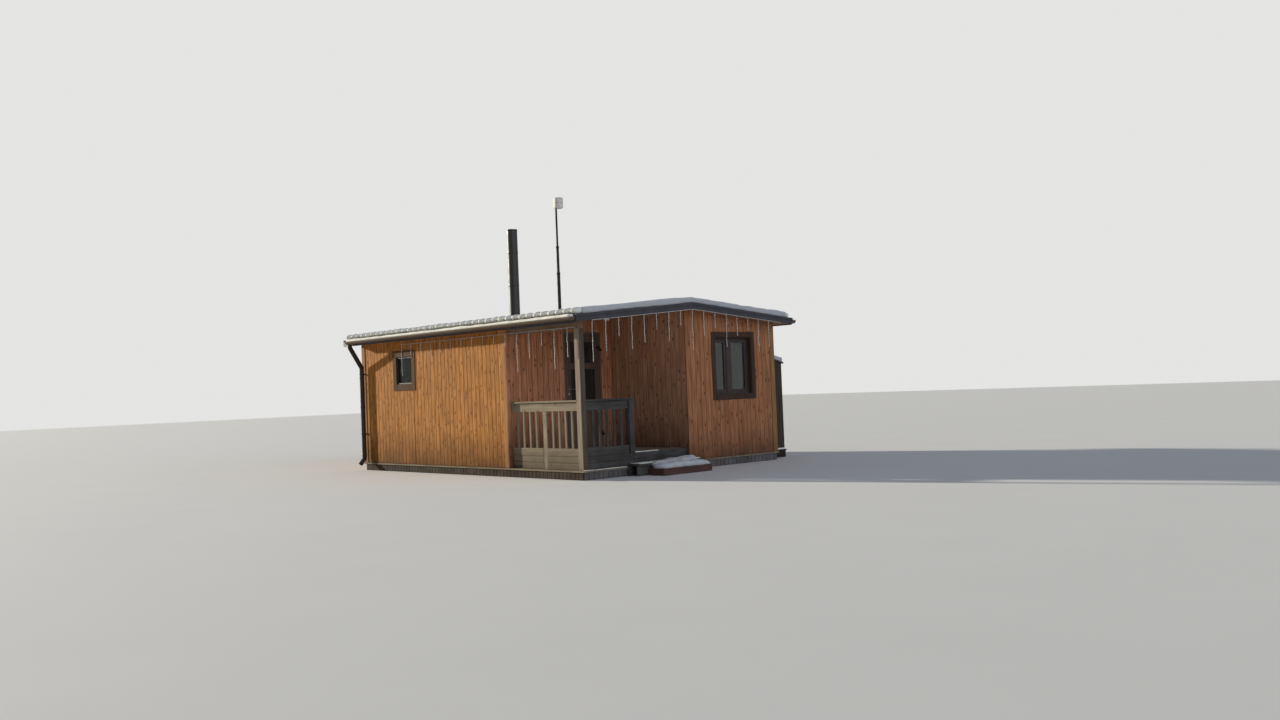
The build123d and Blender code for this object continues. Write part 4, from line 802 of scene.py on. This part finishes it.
class CABIN_OT_door(bpy.types.Operator):
    """Make the door from stiles, rails and a boarded panel, with its lock and glazing beads"""

    bl_idname = "cabin.door"
    bl_label = "Door"

    def execute(self, context):
        tints = context.scene.cabin_colours
        low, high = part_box("door_leaf")
        back, face, foot, head = low.x, high.x, low.z, high.z
        stile, rail = 0.105, head - 0.115
        a, b = low.y + stile, high.y - stile
        bars = [(back, face, low.y, a, foot, head), (back, face, b, high.y, foot, head)]
        a, b = a + JOINT, b - JOINT
        bars += [(back, face, a, b, z0, z1)
                 for z0, z1 in ((foot, 0.457), (1.010, 1.080), (1.755, 1.845), (rail, head))]
        bars += [(back + 0.010, face - 0.010, y0, y1, 0.4575, 1.0095) for y0, y1 in row(a, b, 5)]
        for z0, z1 in ((1.080, 1.755), (1.845, rail)):
            bars += ring(1, face - 0.014, face - 0.003, (a, b, z0 + JOINT, z1 - JOINT),
                         inset((a, b, z0, z1), 0.012), JOINT)
        leaf = planks("door_stiles_and_rails", bars, 0.0025)
        put(leaf, timber("dark stained pine, door", tints.door, 2, 1, 0.11, low.y), "dark_joinery",
            "door_leaf", body=DOOR)
        dress(painted("stained pine, door frame", tints.door, 2), "door_frame")
        dress(float_glass("float glass, door"), "door_glass")
        steel = coated("brushed stainless steel, door furniture", linear("#8F8C86"), 0.32, 0.9, 0.15)
        dress(steel, "door_handle")
        dress(coated("browned steel, hinges", tints.mast, 0.5, 0.6, 0.1), "hinge_knuckles", "hinge_pins")

        # The lock's rose stands under the handle, with the keyhole cut in it
        y = low.y + 0.055
        rose, core = (
            fresh(name, bpy.ops.mesh.primitive_cylinder_add, vertices=32, radius=radius, depth=depth,
                  location=(face + out, y, z), rotation=(0, radians(90), 0))
            for name, radius, depth, out, z in (("lock_rose", 0.024, 0.007, 0.0038, 1.315),
                                                ("lock_core", 0.0085, 0.005, 0.0098, 1.320)))
        ease(rose, 0.002, 2)
        slot = planks("lock_slot", [(face + 0.0073, face + 0.0123, y - 0.004, y + 0.004, 1.297, 1.316)],
                      0.001)
        put(join("door_lock", [rose, core, slot]), steel, "hinge_steel", body=DOOR)
        return {"FINISHED"}


class CABIN_OT_railings(bpy.types.Operator):
    """Build the two porch railings from weathered boards"""

    bl_idname = "cabin.railings"
    bl_label = "Railings"

    # Heights of the top board, the two low boards and the balusters, in metres
    TOP, UPPER, LOWER, BALUSTER = (1.0625, 1.2015), (0.358, 0.4795), (0.252, 0.3555), (0.4798, 1.0622)

    def execute(self, context):
        tints = context.scene.cabin_colours
        half = 0.0225
        low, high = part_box("railing_front")
        cap, base = (low.y, high.y, 1.202, high.z), (low.z + 0.001, 0.2495)
        x0, x1, y0, y1 = PORCH_X + CLEAR, high.x - JOINT, -2.207, -2.182
        middle, post = 2.275, 0.050
        lying = [(x0, middle - JOINT, y0, y1, *self.TOP), (middle + JOINT, x1, y0, y1, *self.TOP),
                 (x0, 2.052, *cap), (2.053, x1, *cap)]
        for a, b in ((x0, middle - post - JOINT), (middle + post + JOINT, x1)):
            lying += [(a, b, y0, y1, *self.UPPER), (a, b, y0 + 0.003, y1, *self.LOWER),
                      (a, b, y0 + 0.003, y1, *base)]
        standing = [(middle - post, middle + post, y0 + 0.004, y1, base[0], 1.0620)]
        for a, b in ((PORCH_X, middle - post), (middle + post, high.x)):
            for at in range(1, 5):
                x = a + at * (b - a) / 5
                standing.append((x - half, x + half, y0 + 0.001, y1 - 0.001, *self.BALUSTER))
        put(planks("front_rail_boards", lying),
            timber("weathered spruce, railing boards", tints.weathered, 0, 2, 0.107, 0.03,
                   knots=0.15, dirt_and_shade=(0.05, 0.62, 1.0, "#534A3C")), "weathered_timber", "railing_front")
        put(planks("front_rail_balusters", standing),
            timber("weathered spruce, balusters", tints.weathered, 2, 0, 0.166, PORCH_X + 0.083,
                   grey=(0.5, "#6B6357")), "weathered_timber", "railing_front")

        low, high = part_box("railing_side")
        x0, x1, post_x = 3.182, 3.207, high.x - 0.0045
        y0, y1, end = low.y + JOINT, -1.2455, -1.145
        lying = [(x0, x1, y0, y1, *self.TOP), (low.x + 0.0145, high.x, y0, end, 1.202, high.z),
                 (x0, x1, y0, y1, *self.UPPER), (x0, x1 - 0.003, y0, y1, *self.LOWER),
                 (x0, x1 - 0.003, y0, end, *base), (x0, x1, y1 + 0.001, end, 0.252, 0.3545)]
        standing = [(post_x - 0.100, post_x, y1 + JOINT, end, DECK_TOP, 1.2015)]
        for at in range(1, 6):
            y = low.y + at * (y1 - low.y) / 6
            standing.append((x0 + 0.001, x1 - 0.001, y - half, y + half, *self.BALUSTER))
        for name, spans, words, grain in (
                ("side_rail_boards", lying, "side railing", (1, 2, 0.107, 0.03)),
                ("side_rail_balusters", standing, "side balusters", (2, 1, 0.15, -2.05))):
            put(planks(name, spans), timber("dark weathered spruce, " + words, tints.shaded, *grain,
                                            grey=(0.5, "#353532")), "weathered_timber", "railing_side")
        return {"FINISHED"}


class CABIN_OT_post_and_beam(bpy.types.Operator):
    """Stand the corner post under the porch beam"""

    bl_idname = "cabin.post_and_beam"
    bl_label = "Post and beam"

    def execute(self, context):
        tints = context.scene.cabin_colours
        low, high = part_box("corner_post")
        post = planks("porch_corner_post", [(low.x, high.x, low.y, high.y, low.z, high.z - JOINT)], 0.006)
        # Painted shade: the post's face away from the sun is darker than its sunny faces.
        put(post, timber("planed spruce, corner post", tints.post, 2, 1, 0.4, -2.3, knots=0.3,
                         dirt_and_shade=(0.0, 0.6, 0.5, "#6E6252"), painted_shade_face=(high.x, "#3A2F26")),
            "weathered_timber", "corner_post")
        low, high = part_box("porch_beam")
        beam = under_roof(planks("porch_eave_beam", [
            (PORCH_X + CLEAR, high.x, y0, y1, low.z, 2.6)
            for y0, y1 in ((low.y, low.y + 0.0495), (low.y + 0.0505, high.y))], 0.004), JOINT)
        put(beam, timber("dark stained spruce, beam", tints.beam, 0, 1, 0.05, -2.235), "dark_fascia",
            "porch_beam")
        return {"FINISHED"}


class CABIN_OT_deck_and_steps(bpy.types.Operator):
    """Lay the porch deck, its riser, the step and the low platform"""

    bl_idname = "cabin.deck_and_steps"
    bl_label = "Deck, step and platform"

    def execute(self, context):
        tints = context.scene.cabin_colours
        low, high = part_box("deck_boards")
        count = round((high.y - low.y) / context.scene.cabin_sizes.deck_board)
        deck = planks("porch_deck_planks", [(PORCH_X + 0.001, high.x, a, b, low.z, high.z)
                                            for a, b in row(low.y, high.y, count, 0.005)], 0.004)
        put(deck, timber("weathered spruce, deck", tints.weathered, 0, 1, 0.124, low.y, knots=0.2,
                         grey=(0.6, "#5E574C")), "weathered_timber", "deck_boards")
        dark = timber("dark weathered spruce, steps", tints.shaded, 1, 0, 0.125, 3.295,
                      grey=(0.5, "#3A3835"))
        low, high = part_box("deck_riser")
        end, split = high.y - CLEAR, 0.2505
        put(planks("deck_riser_boards", [(low.x, high.x, low.y, end, split + 0.0015, high.z - 0.001),
                                         (low.x, high.x - 0.002, low.y, end, low.z, split)]),
            dark, "weathered_timber", "deck_riser")
        low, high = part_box("entrance_step")
        tread, riser = (low.y, high.y, high.z - 0.035, high.z), (low.y, high.y, 0.002, high.z - 0.0355)
        put(planks("entrance_step_boards", [
            (low.x + 0.001, low.x + 0.122, *tread), (low.x + 0.128, high.x, *tread),
            (high.x - 0.070, high.x - 0.0355, *riser), (low.x + 0.001, low.x + 0.035, *riser)], 0.004),
            dark, "weathered_timber", "entrance_step")
        low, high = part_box("entrance_platform")
        edge, foot, head = 0.026, 0.002, high.z - 0.0345
        spans = [(a, b, low.y, high.y, high.z - 0.034, high.z)
                 for a, b in row(low.x, high.x, 3, 0.006)]
        spans += [(high.x - edge, high.x - 0.001, low.y, high.y, foot, head),
                  (low.x, high.x - edge - JOINT, low.y, low.y + edge, foot, head),
                  (low.x, high.x - edge - JOINT, high.y - edge, high.y, foot, head),
                  (low.x, low.x + edge, low.y + edge + JOINT, high.y - edge - JOINT, foot, head)]
        put(planks("platform_boards", spans, 0.004),
            timber("reddish stained pine, platform", tints.platform, 1, 0, 0.123, low.x,
                   grey=(0.4, "#4D4440")), "red_timber", "entrance_platform")
        return {"FINISHED"}


class CABIN_OT_skirt(bpy.types.Operator):
    """Close the base with short upright slats"""

    bl_idname = "cabin.skirt"
    bl_label = "Skirt slats"

    def execute(self, context):
        tints, sizes = context.scene.cabin_colours, context.scene.cabin_sizes
        low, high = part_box("skirt")
        for across, start, end, words, tint, worn in (
                (0, low.x, high.x, "long", tints.skirt, "#594F45"),
                (1, low.y, high.y, "short", tints.skirt_end, "#777573")):
            count = round((end - start) / sizes.slat)
            step = (end - start) / count
            move = [0, 0, 0]
            move[across] = step
            slats = []
            for side, corner in ((-1, low), (1, high)):
                face = corner[1 - across]
                near, far = sorted((face - side * 0.002, face + side * 0.012))
                span = upright(across, start + 0.004, start + step - 0.004, near, far, 0.004, high.z - 0.001)
                slats.append(repeat(planks("slat", [span], 0.002), count, move))
            put(join(f"skirt_slats_{words}", slats),
                timber(f"weathered spruce, {words} skirt", tint, 2, across, step, start, grooves=0.5,
                       grey=(0.6, worn)), "skirt_timber")
        dress(timber("stained spruce, behind the slats", tints.skirt, 0, 1, 0.5), "skirt")
        dress(timber("weathered spruce, ledge", tints.ledge, 0, 1, 0.5, grey=(0.4, "#5F574C")), "base_ledge")
        dress(timber("sawn spruce, floor frame", tints.raw, 0, 1, 0.3, knots=0.3), "bearers", "floor_joists")
        dress(timber("planed spruce, floor", tints.raw, 0, 1, knots=0.3, grooves=0.8), "floor_boards")
        return {"FINISHED"}


class CABIN_OT_roof(bpy.types.Operator):
    """Finish the roof: soffit boards, sheets, ridge cap and two-layer verge boards"""

    bl_idname = "cabin.roof"
    bl_label = "Roof and verges"

    def execute(self, context):
        tints = context.scene.cabin_colours
        dress(timber("stained spruce, soffit", tints.porch_back, 0, 1, knots=0.3, grooves=0.8),
              "roof_deck_front", "roof_deck_rear")
        dress(coated("polyester coated steel, roofing", tints.roofing, 0.4), "roof_sheet_front",
              "roof_sheet_rear", "ridge_cap", "flue_flashing")
        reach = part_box("verge_boards")[1].y
        boards = []
        for x in (-1, 1):
            for y0, y1 in ((-reach, -JOINT), (JOINT, reach)):
                for low, high, out in ((-0.006, 0.058, 0.006), (0.059, 0.105, 0.0)):
                    ends = sorted((x * ROOF_END + x * JOINT, x * (VERGE_END - out)))
                    boards.append(ease(on_slope("verge", *ends, y0, y1, low, high), 0.003))
        put(join("verge_board_layers", boards),
            painted("painted spruce, verge", tints.fascia, 1), "dark_fascia", "verge_boards")
        low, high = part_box("eave_boards")
        spans = [(a, b, y0, y1, low.z, high.z) for y0, y1 in ((low.y, -EAVE), (EAVE, high.y))
                 for a, b in row(low.x, high.x, 3, 0.002)]
        put(planks("eave_board_lengths", spans),
            painted("painted spruce, eave", tints.fascia, 0), "dark_fascia", "eave_boards")
        return {"FINISHED"}


class CABIN_OT_gutters(bpy.types.Operator):
    """Finish the gutters with their straps and the downpipes with their sockets"""

    bl_idname = "cabin.gutters"
    bl_label = "Gutters and downpipes"

    def execute(self, context):
        tints = context.scene.cabin_colours
        steel, pipe = (coated(f"polyester coated steel, {name}s", tint, 0.5, dust=0.12)
                       for name, tint in (("gutter", tints.gutter), ("downpipe", tints.downpipe)))
        dress(steel, "gutter_front", "gutter_rear")
        dress(pipe, "downpipe_front", "downpipe_rear")
        straps, sockets = [], []
        first, width, count, apart = -3.170, 0.025, 11, 0.6540
        pipe_x, pipe_y, collar = -3.183, 2.352, 0.050
        for side in (-1, 1):
            near, far = sorted((side * (EAVE + 0.0225), side * (GUTTER_Y + 0.059)))
            strap = (first, first + width, near, far, GUTTER_Z - 0.003, GUTTER_Z - 0.0003)
            straps.append(repeat(planks("strap", [strap], 0.0006), count, (apart, 0, 0)))
            for z in (0.270, 1.200, 1.760):
                sockets.append(tube("socket", 0.0462, (pipe_x, side * pipe_y), z, z + collar, 0.003))
        put(join("gutter_straps", straps), steel, "dark_gutter")
        put(join("downpipe_sockets", sockets), pipe, "dark_gutter")
        return {"FINISHED"}


class CABIN_OT_flue_and_mast(bpy.types.Operator):
    """Finish the flue with its bands and the mast with its sleeve, clamps and head"""

    bl_idname = "cabin.flue_and_mast"
    bl_label = "Flue and mast"

    def execute(self, context):
        tints = context.scene.cabin_colours
        middle, top = middle_of("flue_pipe")
        enamel = coated("enamelled steel, flue", tints.flue, 0.5, dust=0.02, coat=0.36, gloss=0.31)
        dress(enamel, "flue_pipe")
        bands = [tube("band", 0.1085, middle, z, z + 0.045, 0.002, 48) for z in (2.86, 3.52, 4.18)]
        bands.append(tube("rim", 0.1100, middle, top - 0.030, top - JOINT, 0.0035, 48))
        put(join("flue_bands", bands), enamel, "flue_enamel")

        (x, y), _ = middle_of("mast")
        dark = coated("powder coated steel, mast", tints.mast, 0.55, dust=0.06)
        dress(dark, "mast")
        sleeve = [tube("sleeve", 0.037, (x, y), 2.62, 3.98, 0.0065, 24)]
        for z, radius in ((2.66, 0.042), (3.94, 0.042), (4.52, 0.036)):
            sleeve.append(tube("clamp", radius, (x, y), z, z + 0.040, 0.0115, 24))
        put(join("mast_sleeve", sleeve), dark, "mast_steel")
        plates = []
        for z in (1.60, 2.25):
            plates.append(planks("plate", [
                (x - 0.080, x + 0.080, HALF_WIDTH + CLEAR, HALF_WIDTH + 0.0135, z - 0.040, z + 0.040),
                (x - 0.020, x + 0.020, HALF_WIDTH + 0.0136, y - 0.0315, z - 0.020, z + 0.020)], 0.001))
            plates.append(tube("collar", 0.0335, (x, y), z - 0.020, z + 0.020, 0.003))
            for out in (-0.058, 0.058):
                plates.append(fresh("bolt", bpy.ops.mesh.primitive_cylinder_add, vertices=6, radius=0.009,
                                    depth=0.007, rotation=(radians(90), 0, 0),
                                    location=(x + out, HALF_WIDTH + 0.0170, z)))
        put(join("mast_wall_brackets", plates), dark, "mast_steel", "mast_brackets")
        dress(frosted_plastic("moulded ABS, mast head", "#D2CDC2", "#E2DDD3", 0.6, 20.0), "mast_head")
        middle, _ = middle_of("mast_head")
        put(tube("mast_head_seam", 0.1048, middle, 5.500, 5.506, 0.003, 40), dark, "mast_steel")
        dress(frosted_plastic("opal polycarbonate, lamp", "#C9C8C4", "#E4E3DF", 0.35, 12.0), "porch_lamp")
        middle, top = middle_of("porch_lamp")
        put(tube("porch_lamp_ring", 0.0595, middle, top - 0.012, top - JOINT, 0.004, 40), dark, "lamp_opal")
        return {"FINISHED"}


class CABIN_OT_cupboard(bpy.types.Operator):
    """Board the cupboard behind the house and lay its sloping lid"""

    bl_idname = "cabin.cupboard"
    bl_label = "Rear cupboard"

    def execute(self, context):
        tints = context.scene.cabin_colours
        low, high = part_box("rear_cupboard")
        thick, foot, top = 0.009, 0.004, 2.0
        board_top, lid_foot, lid_top = 1.8785, 1.8805, 1.910
        spans = [(a, b, high.y - HIDDEN, high.y + thick, foot, top) for a, b in row(low.x, high.x, 10)]
        for near, far in ((low.x - thick, low.x + HIDDEN), (high.x - HIDDEN, high.x + thick)):
            spans += [(near, far, a, b, foot, top) for a, b in row(low.y + 0.001, high.y + thick, 5)]
        boards = cut(planks("cupboard_boards", spans, 0.005), (0, HALF_WIDTH, board_top), (0, LID_SLOPE, 1))
        brown = timber("dark stained spruce, cupboard", tints.cupboard, 2, 0, 0.11, low.x, knots=0.3,
                       grooves=0.6)
        put(boards, brown, "shaded_cladding")
        dress(brown, "rear_cupboard")
        base, near, side = [], 0.0095, (low.y + 0.001, high.y + thick)
        for out, z0, z1 in ((0.020, 0.003, 0.1195), (0.034, 0.120, 0.144)):
            base += [(low.x - out, high.x + out, high.y + near, high.y + out, z0, z1),
                     (high.x + near, high.x + out, *side, z0, z1),
                     (low.x - out, low.x - near, *side, z0, z1)]
        put(planks("cupboard_base", base),
            timber("dark stained spruce, cupboard base", tints.skirt, 0, 1, 0.5), "skirt_timber")
        low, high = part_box("cupboard_lid")
        lid = blocks("cupboard_lid_sheet", [
            (a, b, HALF_WIDTH + 0.011, high.y, 1.0, 2.2) for a, b in row(low.x, high.x, 2, 0.0004)])
        lid = ease(between(lid, HALF_WIDTH, lid_foot, lid_top, LID_SLOPE), 0.004, 2)
        put(lid, coated("polyester coated steel, lid", tints.roofing, 0.4), "roof_metal", "cupboard_lid")
        return {"FINISHED"}


class CABIN_OT_light_cable(bpy.types.Operator):
    """Clip the cable of the lights to the wall, the porch beam and the verge"""

    bl_idname = "cabin.light_cable"
    bl_label = "Light cable"

    def execute(self, context):
        flex = frosted_plastic("frosted PVC cable", "#8E8B85", "#D9D7D1")
        dress(flex, "light_cable")
        front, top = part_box("light_drops_front")[0].y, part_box("light_drops_front")[1].z + 0.008
        half, clips = 0.006, []
        for at in range(8):
            x, wall = -1.64 + 0.644 * at, -2.2745 if at < 5 else -2.2345
            clips.append((x - half, x + half, front - 0.001, wall, top - 0.0095, top + 0.0015))
        for at in range(15):
            y = -2.069 + 0.272 * at
            z = underside(y) - 0.006
            clips.append((3.5265, 3.5385, y - half, y + half, z - 0.0095, z - 0.001))
        put(planks("light_cable_clips", clips, 0.001), flex, "light_wire")
        return {"FINISHED"}


class CABIN_OT_snow(bpy.types.Operator):
    """Lay snow on the roof, in the gutters and on the ledges, the step and the platform"""

    bl_idname = "cabin.snow"
    bl_label = "Snow"

    # Snow has no edge sharper than this angle, in radians
    ROUND = 3.2
    # The middle and the half sizes of each lump of the trodden heap, in metres
    HEAP = (
        ((3.700, -1.000, 0.120), (0.170, 0.150, 0.074)), ((3.705, -0.800, 0.128), (0.170, 0.220, 0.078)),
        ((3.705, -0.540, 0.130), (0.170, 0.240, 0.078)), ((3.705, -0.300, 0.126), (0.170, 0.230, 0.076)),
        ((3.690, -0.120, 0.110), (0.160, 0.130, 0.066)), ((3.560, -0.900, 0.160), (0.150, 0.200, 0.064)),
        ((3.540, -0.620, 0.168), (0.160, 0.240, 0.064)), ((3.520, -0.320, 0.172), (0.150, 0.240, 0.066)),
        ((3.440, -0.480, 0.190), (0.120, 0.280, 0.046)), ((3.430, -0.220, 0.204), (0.110, 0.200, 0.048)),
        ((3.400, -0.060, 0.206), (0.080, 0.090, 0.044)),
    )

    def execute(self, context):
        tints = context.scene.cabin_colours
        white = settled_snow("settled snow", tints.snow)
        # Greyer snow with painted shade on its upright sides, for snow that lies in shade.
        shaded_snow = settled_snow("older settled snow, roof", tints.roof_snow, 0.8)
        end, top = VERGE_END - 0.014, 0.106 + context.scene.cabin_sizes.snow
        roof = join("roof_snow_cover", [on_slope("snow", -end, end, y0, y1, 0.094, top)
                                        for y0, y1 in ((0.115 - EAVE, 0.02), (-0.02, EAVE - 0.115))])

        # Along the eaves the snow ends in one lump over each wave of the roofing
        waves = 38
        wave = 2 * ROOF_END / waves
        lumps = [repeat(self.ball((wave / 2 - ROOF_END, side * (EAVE - 0.095), underside(EAVE) + 0.162),
                                  (0.078, 0.120, 0.056)), waves, (wave, 0, 0)) for side in (-1, 1)]
        self.lay(join("eave_snow", lumps), white, 0.012, 0.22, 0.030, 1, "roof_snow")
        for node, wide in (("flue_pipe", 0.200), ("mast", 0.045)):
            hole = tube("melt", wide, middle_of(node)[0], 2.0, 3.4)
            modify(roof, "BOOLEAN", object=hole, operation="DIFFERENCE", solver="EXACT")
            bpy.data.objects.remove(hole)
        self.lay(roof, shaded_snow, 0.032, 0.9, 0.050, 3, "roof_snow")
        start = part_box("gutter_front")[0].x + 0.02
        gutters = blocks("gutter_snow", [
            (start, ROOF_END - 0.02, side * GUTTER_Y - 0.050, side * GUTTER_Y + 0.050,
             GUTTER_Z - 0.035, GUTTER_Z + 0.042) for side in (-1, 1)])
        self.lay(gutters, white, 0.014, 0.3, 0.022, 2)

        # A little lies on the step, the deck's edge and the ledge, there in two places
        low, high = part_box("entrance_step")
        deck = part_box("deck_boards")[1].x
        small = blocks("low_snow", [
            (low.x + 0.01, high.x - 0.02, low.y + 0.03, high.y - 0.01, high.z - 0.012, high.z + 0.014),
            (deck - 0.030, deck + 0.022, -1.135, -0.600, DECK_TOP - 0.012, DECK_TOP + 0.012),
            (HALF_LENGTH - 0.002, HALF_LENGTH + 0.027, -HALF_WIDTH, low.y - 0.01,
             WALL_FOOT - 0.008, WALL_FOOT + 0.012),
            (2.9455, 2.967, HALF_WIDTH + 0.20, HALF_WIDTH + 0.60, WALL_FOOT - 0.008, WALL_FOOT + 0.030)])
        self.lay(small, white, 0.009, 0.18, 0.014, 3)

        # A trodden heap covers the platform and runs up onto the step
        heap = join("platform_snow", [self.ball(middle, size) for middle, size in self.HEAP])
        self.lay(heap, shaded_snow, 0.010, 0.14, 0.022, 5)
        low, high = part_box("cupboard_lid")
        lid = blocks("lid_snow", [
            (low.x + 0.012, high.x - 0.012, HALF_WIDTH + 0.014, high.y - 0.012, 1.0, 2.5)])
        self.lay(between(lid, HALF_WIDTH, 1.902, 1.990, LID_SLOPE), shaded_snow, 0.016, 0.3, 0.020, 4)
        return {"FINISHED"}

    def ball(self, middle, size):
        """A lump of snow, with its half sizes along the three axes."""
        return fresh("lump", bpy.ops.mesh.primitive_uv_sphere_add, segments=20, ring_count=12, radius=1,
                     location=middle, scale=size)

    def lay(self, obj, snow, grain, waves, depth, times, *replaces):
        """Melt blocks into one soft body, give its top low waves and put it in its place."""
        modify(obj, "REMESH", mode="VOXEL", voxel_size=grain)
        clouds = bpy.data.textures.new(obj.name, "CLOUDS")
        clouds.noise_scale = waves
        clouds.noise_depth = 2
        modify(obj, "DISPLACE", texture=clouds, strength=depth, mid_level=0.62, direction="NORMAL")
        modify(obj, "SMOOTH", factor=0.5, iterations=times)
        put(obj, snow, "snow_cover", *replaces, smooth=self.ROUND)


OPERATORS = (
    CABIN_OT_stage, CABIN_OT_light_strings, CABIN_OT_front_cladding, CABIN_OT_porch_cladding,
    CABIN_OT_gable_cladding, CABIN_OT_corner_boards, CABIN_OT_front_window, CABIN_OT_gable_window,
    CABIN_OT_door, CABIN_OT_railings, CABIN_OT_post_and_beam, CABIN_OT_deck_and_steps,
    CABIN_OT_skirt, CABIN_OT_roof, CABIN_OT_gutters, CABIN_OT_flue_and_mast, CABIN_OT_cupboard,
    CABIN_OT_light_cable, CABIN_OT_snow,
)


class CABIN_PT_panel(bpy.types.Panel):
    """Lists the cabin's operators, sizes and colours"""

    bl_idname = "CABIN_PT_panel"
    bl_label = "Off-grid cabin"
    bl_space_type = "VIEW_3D"
    bl_region_type = "UI"
    bl_category = "Cabin"

    def draw(self, context):
        for operator in OPERATORS:
            self.layout.operator(operator.bl_idname)
        for group in (context.scene.cabin_sizes, context.scene.cabin_colours):
            for key in group.__annotations__:
                self.layout.prop(group, key)


CLASSES = (CabinSizes, CabinColours, *OPERATORS, CABIN_PT_panel)


def register():
    """Register the classes and hang the settings on the scene."""
    for made in CLASSES:
        bpy.utils.register_class(made)
    bpy.types.Scene.cabin_sizes = bpy.props.PointerProperty(type=CabinSizes)
    bpy.types.Scene.cabin_colours = bpy.props.PointerProperty(type=CabinColours)


def unregister():
    """Take the settings and the classes away again."""
    del bpy.types.Scene.cabin_colours
    del bpy.types.Scene.cabin_sizes
    for made in reversed(CLASSES):
        bpy.utils.unregister_class(made)


def main():
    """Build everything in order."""
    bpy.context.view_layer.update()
    register()
    for operator in OPERATORS:
        getattr(bpy.ops.cabin, operator.bl_idname.split(".")[1])()


if __name__ == "__main__":
    main()
